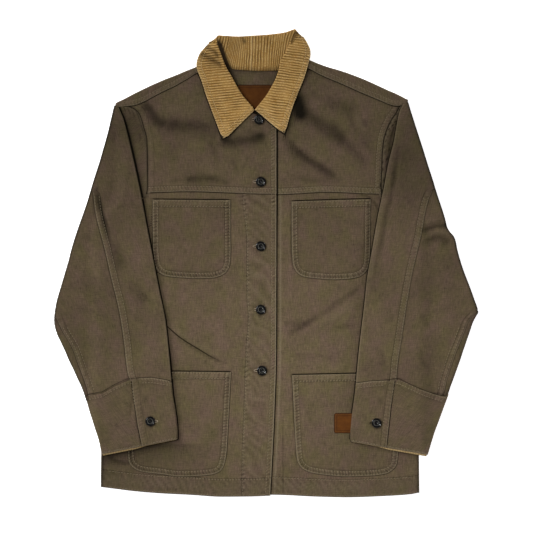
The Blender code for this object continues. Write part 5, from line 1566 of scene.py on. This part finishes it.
for wearerSide in signs:
    sleeveTube = tubeRows(wearerSide, 118)
    for makePiece in (sleeveFront, sleeveElbow, sleeveUnder):
        makePiece(wearerSide, sleeveTube)
    cuffPiece(wearerSide)
    cuffFacing(wearerSide)
print("sleeves ready")

collar = {
    # stations from the right tip round the neck to the left tip: neck seam x, y, z, fold x, y, z, side,
    # edge x, y, z
    "stations": np.array([
        (-12, 253, 5.0, -14, 250, 7.0, 1, -72, 205, 9.4), (-34, 266, 4.6, -24, 268, 6.8, 1, -90, 251, 9.0),
        (-62, 290, 4.4, -43, 291, 6.6, 1, -103, 286, 8.8), (-79, 315, 4.6, -60, 321, 6.8, 1, -112, 314, 8.8),
        (-86, 336, 4.6, -71, 340, 7.2, 1, -120.5, 338, 9.2),
        (-84.5, 348, 4.0, -78.5, 360, 7.8, 1, -117, 356, 7.2),
        (-78, 348, 3.2, -84.5, 377, 7.4, 0, -107, 371, 2.4),
        (-71, 339, 2.9, -84.5, 390.5, 4.6, -1, -93, 380, 2.2),
        (-62, 334.6, 2.8, -71, 391, 3.8, -1, -75, 362, 1.8),
        (-45, 332.6, 2.8, -49, 390, 3.6, -1, -49, 352, 1.8),
        (-20, 331.2, 2.8, -20, 391.5, 3.6, -1, -20, 352, 1.8), (6, 331, 2.8, 10, 394, 3.6, -1, 10, 354, 1.8),
        (21, 332.5, 2.8, 32, 397, 3.8, -1, 36, 366, 1.8), (34, 341, 2.9, 50, 402, 4.6, -1, 60, 388, 2.2),
        (43, 350, 3.2, 42, 385, 7.4, 0, 73, 374, 2.4), (50, 350, 4.0, 34.5, 366, 7.8, 1, 76, 359, 7.4),
        (48, 338, 4.6, 24, 345, 7.2, 1, 72, 343, 9.4), (44, 315, 4.6, 17, 320, 6.8, 1, 65, 319, 8.8),
        (32, 289, 4.6, 2, 292, 7.2, 1, 54, 292, 9.0), (0, 264, 5.0, -14, 271, 8.6, 1, 42, 259, 9.8),
        (-20, 250, 5.6, -26, 256, 10.0, 1, 30, 214, 10.8)]),
    "cuts": {"right": ((-21.6, 262.0), (-46.4, -45.2)), "left": ((-18.8, 263.0), (42.2, -35.8))},
    "tips": {"right": (-74.0, 211.7), "left": (31.6, 220.7)}, "tipRadius": 8.5,
    "leafWale": 4.2, "bandWale": 5.4, "slope": {"right": -0.10, "left": 0.15}, "rise": 0.36, "wall": 1.6,
    "rows": (2.0, 8.8), "step": 0.86,
    "wrinkles": [
        ([(-115, 364), (-97, 354), (-84, 345), (-72, 341)], -1.9, 3.5, 9, 0.12),
        ([(-114, 348), (-94, 340), (-74, 331)], 0.8, 6, 6, 0.25),
        ([(-108, 376), (-96, 368), (-86, 361), (-78, 350)], -0.65, 3.5, 5, 0.25),
        ([(-112, 366), (-101, 362), (-90, 353)], 0.9, 4, 4, 0.3),
        ([(-103, 374), (-93, 369), (-85, 367)], 0.6, 4, 4, 0.35),
        ([(-96, 330), (-80, 322), (-66, 322)], -0.45, 6, 8, 0.4),
        ([(-74, 252), (-66, 236), (-60, 222)], 0.7, 8, 8, 0.4),
        ([(-50, 268), (-46, 252), (-50, 240)], -0.45, 7, 8, 0.4),
        ([(34, 250), (30, 240), (26, 232)], 0.6, 7, 7, 0.4),
        ([(12, 268), (22, 256), (28, 244)], -0.5, 6, 7, 0.4),
        ([(50, 385), (58, 372), (62, 358)], -0.6, 4, 5, 0.35),
        ([(20, 300), (36, 296), (50, 300)], -0.4, 8, 8, 0.4),
        ([(-44, 391), (-40, 384), (-33, 376)], -0.9, 2.5, 3, 0.35),
        ([(11, 396), (14, 388), (12, 380)], -0.5, 2.5, 3, 0.35),
        ([(-60, 372), (-30, 366), (0, 372)], 0.35, 9, 9, 0.4),
    ],
}


# cubic through the rows of values, with the slopes of their neighbours
def spline(values, at):
    last = len(values) - 1
    i = np.clip(np.floor(at).astype(int), 0, last - 1)
    t = (at - i)[:, None]
    slope = np.gradient(values, axis=0)
    a, b = values[i], values[i + 1]
    return ((2 * t**3 - 3 * t**2 + 1) * a + (t**3 - 2 * t**2 + t) * slope[i]
            + (3 * t**2 - 2 * t**3) * b + (t**3 - t**2) * slope[i + 1])


# table read in straight pieces and carried on past both ends with the slope given
def steady(at, keys, values, slope):
    inside = np.interp(at, keys, values)
    return inside + slope * (np.minimum(at - keys[0], 0) + np.maximum(at - keys[-1], 0))


# the straight cut of a leaf's front edge: a point on it, its direction, and the way out of the leaf
def leafCut(name):
    (px, py), (dx, dy) = collar["cuts"][name]
    return px, py, dx, dy, *((dy, -dx) if dx > 0 else (-dy, dx))


# distance into the leaf from its cut
def insideCut(name, x, y):
    px, py, _, _, ax, ay = leafCut(name)
    return -((x - px) * ax + (y - py) * ay) / np.hypot(ax, ay)


# sections set along the collar as whole arrays: neck seam, stand, a half round fold, fall and outer edge
def collarGrid(at):
    table = spline(collar["stations"], at)
    neck, fold, side, edge = table[:, 0:3], table[:, 3:6], table[:, 6:7], table[:, 7:10]

    def unit(v):
        flat = v * [1, 1, 0]
        return flat / np.linalg.norm(flat, axis=1)[:, None]

    toNeck, toEdge, up = unit(neck - fold), unit(edge - fold), np.array([0, 0, 1.0])
    radius = 2.2
    tilt = up * (1 - np.abs(side)) * 0.9
    below = fold + toNeck * radius * 1.1 - up * side * radius - tilt
    above = fold + toEdge * radius * 1.1 + up * side * radius - tilt
    rise = neck + (below - neck) * 0.3
    rise[:, 2] = neck[:, 2] + (below[:, 2] - neck[:, 2]) * 0.95
    line = [neck, neck + (rise - neck) * 0.5, rise]
    line += [rise + (below - rise) * t for t in np.linspace(0, 1, 7)[1:-1]]
    for a in np.radians([-90, -65, -40, -20, 0, 20, 40, 65, 90]):
        flatWay = toNeck * max(0.0, -np.sin(a)) + toEdge * max(0.0, np.sin(a))
        line.append(fold + flatWay * radius * 1.1 * (1 - np.cos(a)) + up * side * radius * np.sin(a)
                    - tilt * (1 - np.cos(a)))
    fall = [np.linspace(0, 0.8, 32)[1:], np.linspace(0.8, 0.96, 11)[1:], [0.97, 0.98, 0.99, 0.996, 1.0]]
    line += [above + (edge - above) * t for t in np.concatenate(fall)]
    return np.stack(line, 1), neck, fold, side, edge


# count of the wales at each place: level cords across the leaves, leaning ones up the band, eased into each
# other
def collarWales(x, y, at, neck, fold, isLeaf, onLeaf, perStation):
    down, along = np.abs(np.gradient(fold[:, 1])), np.gradient(perStation)
    count = np.cumsum(isLeaf * down / collar["leafWale"] + (1 - isLeaf) * along / collar["bandWale"])
    leafCount = np.zeros(x.shape)
    for name, part, sign, there in (("right", at < 6.4, 1, x < -15), ("left", at > 13.6, -1, x >= -15)):
        order = np.argsort(fold[part, 1])
        height, here, foldX = fold[part, 1][order], count[part][order], fold[part, 0][order]
        level = y + 0.0
        for _ in range(3):
            level = y + collar["slope"][name] * (x - np.interp(level, height, foldX))
        leafCount = np.where(there, steady(level, height, here, sign / collar["leafWale"]), leafCount)
    band = (at > 6.2) & (at < 13.8)
    lean = through(np.clip(x, -90, 60), [-90, -60, -26, 20, 60], [0.3, 0.24, 0.04, 0.1, 0.3])
    order = np.argsort(neck[band, 0])
    bandCount = steady(x - lean * (y - 332), neck[band, 0][order], count[band][order], 1 / collar["bandWale"])
    phase = leafCount * onLeaf + bandCount * (1 - onLeaf)
    return phase + 0.16 * rumple(x, y, 15, 93) + 0.07 * rumple(x, y, 5, 94)


# cuts both leaves along their front edges
def cutLeaves(mesh, limit):
    work = bmesh.new()
    work.from_mesh(mesh)
    work.verts.ensure_lookup_table()
    sides = {"right": [], "left": []}
    for face in work.faces:
        sides["right" if face.verts[0].index < limit else "left"].append(face)
    for name, faces in sides.items():
        px, py, _, _, ax, ay = leafCut(name)
        # each corner and edge once, always in the same order
        corners = dict.fromkeys(corner for face in faces for corner in face.verts)
        edges = dict.fromkeys(edge for face in faces for edge in face.edges)
        bmesh.ops.bisect_plane(work, geom=[*corners, *edges, *faces], dist=1e-7, clear_outer=True,
                               plane_co=(px * mm, py * mm, 0), plane_no=(ax, ay, 0.0))
    work.to_mesh(mesh)
    work.free()


# rounds the two tips: what lies towards a tip from the centre of its circle is drawn in to the circle
def roundTips(points, edge, at):
    r = collar["tipRadius"]
    for name, (tx, ty) in collar["tips"].items():
        outline = edge[at < 3] if name == "right" else edge[at > 17]
        pick = outline[np.argmin(np.abs(np.hypot(outline[:, 0] - tx, outline[:, 1] - ty) - 30)), :2]
        ways = [np.array(place) - [tx, ty] for place in (leafCut(name)[:2], pick)]
        ways = [way / np.hypot(*way) for way in ways]
        halfAngle = np.arccos(ways[0] @ ways[1]) / 2
        middle = (ways[0] + ways[1]) / np.hypot(*(ways[0] + ways[1]))
        centre = np.array([tx, ty]) + middle * r / np.sin(halfAngle)
        vx, vy = points[:, 0] - centre[0], points[:, 1] - centre[1]
        ahead, aside = -(vx * middle[0] + vy * middle[1]), np.abs(vy * middle[0] - vx * middle[1])
        angle, far = np.arctan2(aside, ahead), np.hypot(vx, vy)
        limit = np.pi / 2 - halfAngle
        mine = (points[:, 2] > 5.2) & (angle < limit) & (far < 2.5 * r)
        shrink = 1 - (1 - np.cos(np.clip(limit - angle, 0, limit))) * glide(far / r) * mine
        points[:, 0], points[:, 1] = centre[0] + vx * shrink, centre[1] + vy * shrink


# the collar: its sections, raised along each wale by a rounded cord; gives the outer edge and the fold
def collarPiece():
    stations = collar["stations"]
    middle = (stations[:, 3:5] + stations[:, 7:9]) / 2 * 0.6 + stations[:, 3:5] * 0.4
    length = np.concatenate([[0], np.cumsum(np.linalg.norm(np.diff(middle, axis=0), axis=1))])
    at = np.interp(np.linspace(0, length[-1], int(length[-1] / collar["step"])), length,
                   np.arange(len(stations)))
    grid, neck, fold, side, edge = collarGrid(at)
    rows, cols = grid.shape[:2]
    foldAt = 12  # the column on the fold
    across = np.arange(cols)[None, :]
    leaf = np.clip((across - foldAt - 4) / 4, 0, 1) * np.clip(np.abs(side) + 0.7 * (at[:, None] < 8), 0, 1)
    x, y = grid[..., 0], grid[..., 1]
    station = at[:, None] + 0 * x
    onCloth = np.maximum(leaf, 0.8 * ((station > 7) & (station < 13)))
    grid[..., 2] += (creased(x, y, collar["wrinkles"]) + 0.3 * rumple(x, y, 24, 91)) * onCloth
    isLeaf = np.where(at < 10, glide((7.3 - at) / 1.2), glide((at - 12.7) / 1.2))
    onLeaf, onBand = isLeaf[:, None] * glide((across - foldAt + 3) / 3), 1 - isLeaf[:, None]
    phase = collarWales(x, y, at, neck, fold, isLeaf, onLeaf, np.interp(at, np.arange(len(stations)), length))

    # distance to the finished rim: the outer edge, and the front edge where the leaf is cut
    rim = np.linalg.norm(grid - grid[:, -1:], axis=2)
    tipFar = np.full((rows, cols), 99.0)
    for name, (tx, ty) in collar["tips"].items():
        mine = (station < 8 if name == "right" else station > 12) & (across > foldAt - 2)
        rim = np.where(mine, np.minimum(rim, np.abs(insideCut(name, x, y))), rim)
        tipFar = np.where(mine, np.minimum(tipFar, np.hypot(x - tx, y - ty)), tipFar)
    normal = np.cross(np.gradient(grid, axis=0), np.gradient(grid, axis=1))
    normal /= np.linalg.norm(normal, axis=2)[:, :, None] + 1e-9
    toGroove = np.abs((phase % 1.0) - 0.5) * 2
    cord = np.sqrt(np.clip(1 - toGroove ** 2.4, 0, 1))
    outside = across > foldAt
    strip = glide((10.5 - rim) / 1.5) * outside
    brushed = 0.72 + 0.5 * rumple(x, y, 17, 97) + 0.25 * rumple(x, y, 7, 98)
    brushed *= 1 - 0.2 * strip
    brushed *= 1 - 0.5 * glide((30 - tipFar) / 18)
    brushed *= 1 - 0.45 * glide((352 - y) / 12) * onBand
    brushed = np.clip(brushed, 0.1, 1.0)
    dips = sum(bell(rim - row, 0.8) for row in collar["rows"]) * outside
    pucker = 0.16 * strip * wave(phase * 0.9 + rim / 9)
    height = collar["rise"] * (0.4 + 0.6 * brushed) * (2 * cord - 1) - 0.5 * dips + pucker
    height += 0.14 * rumple(x, y, 3.4, 92) + 0.3 * strip * (rim > 2.4)
    height += edgeRound(rim, 0.9, 0.8) * outside
    outer = grid + normal * height[..., None]
    outer[..., 2] = np.maximum(outer[..., 2], collar["wall"])

    # painted shade inside the stand, in the right corner beside the neck and in the troughs of the wrinkles;
    # painted highlights on ridges
    inStand = np.where(at < 10, glide((6.9 - at) / 0.5), 0.5 * glide((at - 13.1) / 0.5))[:, None]
    wrinkles = collar["wrinkles"]
    troughs = [(line, 1.0, left, right, soft) for line, high, left, right, soft in wrinkles if high < -0.6]
    ridges = [(line, 1.0, wide, wide, soft) for line, high, wide, _, soft in wrinkles if high > 0.9]
    beside = np.abs(nearLine(x, y, bend([(-58, 318), (-71, 340), (-78.5, 360), (-84, 376)], 16))[0])
    wedge = 0.95 * bell(np.maximum(beside - 5.2, 0), 3.4) * (across < foldAt + 1)
    wedge *= ((at > 6.0) & (at < 10))[:, None]
    paintedShadeAndTone = np.maximum(0.9 * ((across < foldAt - 1) * inStand), wedge) + 0.07 * onBand
    paintedShadeAndTone = paintedShadeAndTone + 0.62 * creased(x, y, troughs, 1.0) * np.maximum(leaf, onBand) + 0.34 * dips
    light = 0.45 * bell(rim, 1.8) * outside + 0.1 * strip + 0.12 * rumple(x, y, 12, 99)
    light += 0.28 * creased(x, y, ridges, 1.0) * leaf
    light += 0.5 * bell(x + 26.5 - 0.03 * (y - 332), 1.2) * onBand
    passed = np.cumsum(np.linalg.norm(np.gradient(edge, axis=0), axis=1))[:, None] + 0 * x
    notes = {"grooveShade": brushed, "phase": (phase + 20) / 200, "paintedShadeAndTone": paintedShadeAndTone, "wearAndPaintedLight": light,
             **roped((rim, passed, 1.0, 9.4, 0.9 * outside * (isLeaf[:, None] > 0.2)))}
    obj = putSurface("collarShell", outer, np.stack([phase * 4.6, rim], -1), corduroy, "corduroy", 0,
                     notes=notes, upAt=(20, cols - 6))
    cutLeaves(obj.data, rows // 2 * cols)
    points = np.empty(len(obj.data.vertices) * 3)
    obj.data.vertices.foreach_get("co", points)
    points = points.reshape(-1, 3) / mm
    roundTips(points, edge, at)
    obj.data.vertices.foreach_set("co", (points * mm).astype(np.float32).ravel())
    obj.data.update()
    addWall(obj, collar["wall"], False)
    built["collarShell"] = points
    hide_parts("collar")
    return edge[:, :2], fold[:, :2]


collarEdge, collarFold = collarPiece()
print("collar ready")

# corners, node, thickness and the floor of wear of the two labels; the neck label's higher floor is painted
# shade
labels = {
    "pocketLabel": {"box": (116, -293, 160, -258), "node": "pocket_label", "wall": 1.0, "wearAndPaintedLight": 0.22},
    "neckLabel": {"box": (-51, 262, 13, 307), "node": "neck_label", "wall": 0.8, "wearAndPaintedLight": 0.35},
}


# a bare leather patch with rounded corners, rubbed dark along its rim and its stitched row
def labelPatch(name, spec):
    x0, y0, x1, y1 = spec["box"]
    wide, long = x1 - x0, y1 - y0
    across, rows = (ladder(size, 1.2, [(0, 1.5, 0.35), (size - 1.5, size, 0.35)]) / size
                    for size in (wide, long))
    u, v = np.meshgrid(across * 2 - 1, rows * 2 - 1)
    cut = 2.0
    sx = 1 - glide((np.abs(v) * long / 2 - (long / 2 - cut)) / cut) * cut / (wide / 2) * 0.6
    sy = 1 - glide((np.abs(u) * wide / 2 - (wide / 2 - cut)) / cut) * cut / (long / 2) * 0.6
    x, y = (x0 + x1) / 2 + u * sx * wide / 2, (y0 + y1) / 2 + v * sy * long / 2
    rim = np.minimum((1 - np.abs(u)) * wide / 2, (1 - np.abs(v)) * long / 2)
    if name == "pocketLabel":
        z = frontHeight("left", x, y) + body["lap"] + 1.5 + 0.85 * bodyRelief("left", x, y)
    else:
        z = 2.1 + 0.15 * rumple(x, y, 18, 95)
    z = z + edgeRound(rim, 0.5) - 0.3 * bell(rim - 2.2, 0.5) + 0.12 * rumple(x, y, 9, 96)
    xyz = np.stack([x, y, z], -1)
    wearAndPaintedLight = 0.95 * bell(rim, 1.3) + 0.4 * bell(rim - 4.6, 0.8) + spec["wearAndPaintedLight"]
    obj = putSurface(name, xyz, xyz[..., :2], leather, "leather", spec["wall"], notes={"wearAndPaintedLight": wearAndPaintedLight})
    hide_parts(spec["node"])


for labelName, labelSpec in labels.items():
    labelPatch(labelName, labelSpec)

buttonForm = {
    "profile": [(0.0, 1.0), (1.0, 1.0), (3.2, 1.0), (5.9, 1.05), (6.3, 2.1), (6.6, 2.38), (7.4, 2.38),
                (8.25, 1.7), (8.4, 1.4), (8.3, 0.9), (7.9, 0.4), (7.0, 0.05), (0.0, 0.0)],
    "holes": 1.75, "holeRadius": 0.62, "around": 48,
    "hole": {"long": 8.4, "wide": 3.4, "beside": 8.9, "lift": 0.25},
}


# turned form: the profile carried round, four holes sunk in its middle
def buttonPiece(name, x, y, z):
    profile = np.array(buttonForm["profile"])
    run = runOf(profile)
    at = np.unique(np.concatenate([np.linspace(0, 3.0, 10), np.linspace(3.0, 15, 30),
                                   np.linspace(15, run[-1], 4)]))
    r, h = np.interp(at, run, profile[:, 0])[:, None], np.interp(at, run, profile[:, 1])[:, None]
    angle = np.linspace(0, 2 * np.pi, buttonForm["around"], endpoint=False)
    px, py = r * np.cos(angle), r * np.sin(angle)
    pz = h + 0 * px
    for k in range(4):
        turn = np.pi / 4 + k * np.pi / 2
        far = np.hypot(px - buttonForm["holes"] * np.cos(turn), py - buttonForm["holes"] * np.sin(turn))
        pz = pz - np.where(at[:, None] < 4.0, 0.7 * glide((buttonForm["holeRadius"] + 0.35 - far) / 0.5), 0)
    points = np.stack([px + x, py + y, pz + z], -1)[1:-1]
    rows, cols = points.shape[:2]
    index = np.arange(rows * cols).reshape(rows, cols)
    after = np.roll(index, -1, 1)
    quads = np.stack([index[:-1], index[1:], after[1:], after[:-1]], -1).reshape(-1, 4)
    top, foot = rows * cols, rows * cols + 1
    caps = [(top, int(a), int(b)) for a, b in zip(index[0], after[0])]
    caps += [(foot, int(b), int(a)) for a, b in zip(index[-1], after[-1])]
    points = np.concatenate([points.reshape(-1, 3), [(x, y, z + 0.75), (x, y, z)]]) * mm
    mesh = bpy.data.meshes.new(name)
    mesh.from_pydata(points.tolist(), [], quads.tolist() + caps)
    turnOut(mesh)
    # a grey ring painted as a reflection on the button's dish
    paleTone = bell(r[1:-1] - 4.4, 0.45) * (0.75 + 0.25 * np.cos(2 * angle)) * (h[1:-1] > 0.8)
    field = mesh.attributes.new("ring", "FLOAT", "POINT")
    field.data.foreach_set("value", np.append(paleTone.ravel(), [0, 0]).astype(np.float32))
    return putPiece(name, mesh, buttonBlack, "button")


# worked buttonhole: a raised bead of thread round a slit, a racetrack path with a round section
def buttonhole(name, x, y, z):
    long, wide = buttonForm["hole"]["long"], buttonForm["hole"]["wide"]
    path = np.linspace(0, 2 * np.pi, 60, endpoint=False)
    half = long / 2 - wide / 2
    cos, sin = np.cos(path), np.sin(path)
    cx = x + np.clip(cos * 1.35, -1, 1) * half + cos * wide * 0.5 * (np.abs(cos) > 0.74)
    cy = y + sin * wide / 2
    ring = np.linspace(0, 2 * np.pi, 8, endpoint=False)
    out = np.stack([cos * 0.4, sin, 0 * path], -1)
    out /= np.linalg.norm(out, axis=1)[:, None]
    bead = (0.55 + 0.10 * np.cos(path * 30))[:, None]
    points = np.stack([cx, cy, np.full_like(cx, z)], -1)[:, None, :]
    points = points + out[:, None, :] * (bead * np.cos(ring))[..., None]
    points[..., 2] += bead * np.sin(ring) * 0.8
    index = np.arange(points[..., 0].size).reshape(points.shape[:2])
    after = np.roll(index, -1, 0)
    quads = np.stack([index, after, np.roll(after, -1, 1), np.roll(index, -1, 1)], -1)
    mesh = bpy.data.meshes.new(name)
    mesh.from_pydata((points.reshape(-1, 3) * mm).tolist(), [], quads.reshape(-1, 4).tolist())
    turnOut(mesh)
    putPiece(name, mesh, holeThread, "twill")


for buttonName, (bx, by, rise) in buttons.items():
    obj = buttonPiece(buttonName.replace("_", "") + "Turned", bx, by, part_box(buttonName)[0][2] / mm)
    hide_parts(buttonName)
    beside = buttonForm["hole"]["beside"]
    if rise is not None:
        spot = layOn(["frontRight", "yokeRight"], np.array([bx - 7.0]), np.array([by + 0.0]))[0]
        beside = -beside
    else:
        cuffName = "cuffRight" if "right" in buttonName else "cuffLeft"
        spot = layOn([cuffName], np.array([bx + 0.0]), np.array([by + 0.0]), 0, 9.0)[0]
        beside = beside if bx < 0 else -beside
    buttonhole(buttonName.replace("_", "") + "Hole", bx + beside, by, spot + buttonForm["hole"]["lift"])
print("buttons ready")


# the line moved sideways, to its left where by is positive
def offsetLine(line, by):
    way = np.gradient(line, axis=0)
    way /= np.linalg.norm(way, axis=1)[:, None]
    return line + np.stack([-way[:, 1], way[:, 0]], -1) * by


# rows of stitches of the fronts, yokes, shoulder strips and pockets
def bodyRows():
    names = ["frontRight", "yokeRight"]
    ys, low = np.linspace(-396, 250, 200), np.linspace(-398, 117, 160)
    lines = [seamPath(column(body["placket"], ys) - inwards, ys, names) for inwards in (1.7, 7.9)]
    lines.append(seamPath(column(body["facing"], low), low, names[:1]))
    # lines over x: table, from, to, count, rows above the line, piece
    for table, x0, x1, count, places, name in (
            ("hemRight", -282, 4, 80, (29.5, 2.2), "frontRight"),
            ("hemLeft", 10, 260, 80, (29.5, 2.2), "frontLeft"),
            ("seamRight", -204, 15, 60, (1.8, 9.2), "yokeRight"),
            ("seamLeft", 19, 197, 60, (1.8, 9.2), "yokeLeft")):
        xs = np.linspace(x0, x1, count)
        lines += [seamPath(xs, column(body[table], xs) + inwards, [name]) for inwards in places]
    arm = bend(body["armhole"][3:11, [2, 0]], 60)
    lines += [seamPath(*offsetLine(arm, inwards).T, ["yokeLeft"]) for inwards in (1.7, 9.0)]
    for x0, x1 in ((-252, -92), (62, 236)):
        xs = np.linspace(x0, x1, 50)
        lines += [seamPath(xs, stripLine(xs) + inwards, ["backYoke"], 0, 4.0) for inwards in (1.8, 8.4)]
    for name, spec in pockets.items():
        (lx, ly), (rx, ry) = spec["top"]
        dense = bend(np.concatenate([[(lx, ly)], bend(spec["bottom"], 60), [(rx, ry)]]), 160)
        for inwards in (1.8, 8.6):
            moved = offsetLine(dense, inwards)
            lines.append(seamPath(*moved[moved[:, 1] < max(ly, ry) - 2].T, [name]))
        xs = np.linspace(lx + 2, rx - 2, 40)
        mouth = ly + (ry - ly) * (xs - lx) / (rx - lx)
        lines += [seamPath(xs, mouth - inwards, [name]) for inwards in (1.8, 11.0)]
    return lines


# rows beside the lapped seams of the sleeves and round the cuffs
def sleeveRows():
    lines = []
    for side, (sign, _) in signs.items():
        spec, label = sleeves[side], side.capitalize()
        front, elbow, cuff = ["sleeveFront" + label], ["sleeveElbow" + label], ["cuff" + label]
        ys = np.linspace(spec["seamEnds"] - 12, -205, 120)
        lines += [seamPath(column(spec["seam"], ys) - sign * inwards, ys, front, 0, 5)
                  for inwards in (1.8, 10.2)]
        ys = np.linspace(-110, -222, 50)
        back = column(spec["outer"], ys) - sign * (column(spec["back"], ys) * 1.06 + 1.8)
        lines += [seamPath(back - sign * inwards, ys, elbow, 0, 5) for inwards in (0, 7.5)]
        table = cuffs[side]["rows"]
        for down in (1.8, 8.4, 97.4):
            oy, iy = table[0] + (table[1] - table[0]) * (down / 100.0)
            ox, ix = column(spec["outer"], np.array([oy]))[0], column(spec["inner"], np.array([iy]))[0]
            xs, ys = np.linspace(ix + sign * 2.5, ox - sign * 2.5, 60), np.linspace(iy, oy, 60)
            lines.append(seamPath(xs, cuffTop(side, xs) - down if down < 50 else ys, cuff, 0, 9.5))
        ys = np.linspace(-214, -308, 40)
        lines += [seamPath(column(spec["seam"], ys) - sign * inwards, ys, cuff, 0, 12.5)
                  for inwards in (1.8, 9.6)]
    return lines


# two rows along the outer and the front edges of the collar's leaves, turned at each tip
def collarRows():
    lines = []
    toFold = collarFold - collarEdge
    toFold = toFold / np.linalg.norm(toFold, axis=1)[:, None]
    for inwards in collar["rows"]:
        row = collarEdge + toFold * inwards
        count = len(row)
        for name, piece in (("right", row[:int(count * 0.31)][::-1]), ("left", row[int(count * 0.66):])):
            px, py, dx, dy, ax, ay = leafCut(name)
            size = np.hypot(ax, ay)
            piece = piece[insideCut(name, piece[:, 0], piece[:, 1]) > inwards]
            foot = np.array([px - ax / size * inwards, py - ay / size * inwards])
            way = np.array([dx, dy]) / size
            reach = (piece[-1] - foot) @ way
            path = np.concatenate([piece, foot + way * np.linspace(reach - 1.5, 4, 30)[:, None]])
            lines.append(seamPath(path[:, 0], path[:, 1], ["collarShell"], 0.1, 6.0))
    return lines


# one row round each label
def labelRows():
    lines = []
    for name, spec in labels.items():
        x0, y0, x1, y1 = spec["box"] + np.array([2.2, 2.2, -2.2, -2.2])
        ring = np.array([(x0, y0), (x1, y0), (x1, y1), (x0, y1), (x0, y0)])
        lines += [seamPath(*np.linspace(a, b, 20).T, [name]) for a, b in zip(ring[:-1], ring[1:])]
    return lines


sew("bodySewing", bodyRows())
sew("sleeveSewing", sleeveRows())
sew("collarSewing", collarRows())
sew("labelSewing", labelRows())
print("sewing ready")

studio = {
    "frame": 917.0, "high": 9000.0, "floor": (0.94, 0.94, 0.94), "glow": 0.9, "sky": 0.13,
    # kind, place, aim, size in metres or degrees, power
    "lamps": {
        "key": ("AREA", (-5.8, 3.0, 4.4), (0, 0, 0), 4.0, 420.0),
        "low": ("SPOT", (-2.5, 0.9, 5.5), (0.03, -0.2, 0), 9.0, 1250.0),
        "glint": ("AREA", (2.9, 2.3, 0.82), (0, 0, 0), 0.36, 30.0),
        "glintLow": ("AREA", (2.9, -2.3, 0.82), (0, 0, 0), 0.36, 30.0),
    },
}


def studioSet():
    scene = bpy.context.scene
    floorMesh = bpy.data.meshes.new("floor")
    corners = [(-6, -6, -0.0004), (6, -6, -0.0004), (6, 6, -0.0004), (-6, 6, -0.0004)]
    floorMesh.from_pydata(corners, [], [(0, 1, 2, 3)])
    floor = bpy.data.objects.new("floor", floorMesh)
    scene.collection.objects.link(floor)
    floorMesh.materials.append(Nodes("white table").finish({
        "Base Color": studio["floor"], "Roughness": 0.9, "Specular IOR Level": 0.1,
        "Emission Color": (1, 1, 1), "Emission Strength": studio["glow"]}))
    world = bpy.data.worlds.new("studio")
    world.use_nodes = True
    world.node_tree.nodes["Background"].inputs[0].default_value = (1.0, 1.0, 1.0, 1)
    world.node_tree.nodes["Background"].inputs[1].default_value = studio["sky"]
    scene.world = world
    for name, (kind, place, aim, size, power) in studio["lamps"].items():
        lamp = bpy.data.lights.new(name, kind)
        lamp.energy = power
        if kind == "AREA":
            lamp.shape = "DISK"
            lamp.size = size
        else:
            lamp.shadow_soft_size = 0.35
            lamp.spot_size = np.radians(size)
            lamp.spot_blend = 1.0
        light = bpy.data.objects.new(name, lamp)
        light.location = place
        light.rotation_euler = (Vector(aim) - Vector(place)).to_track_quat("-Z", "Y").to_euler()
        light.visible_camera = False
        scene.collection.objects.link(light)
    lens = bpy.data.cameras.new("camera")
    lens.sensor_width = 36.0
    lens.lens = 36.0 * studio["high"] / studio["frame"]
    lens.clip_end = 30
    eye = bpy.data.objects.new("camera", lens)
    eye.location = (0.0, -0.006, (studio["high"] + 8) * mm)
    scene.collection.objects.link(eye)
    scene.camera = eye
    scene.view_settings.view_transform = "Standard"


studioSet()
print("studio ready")
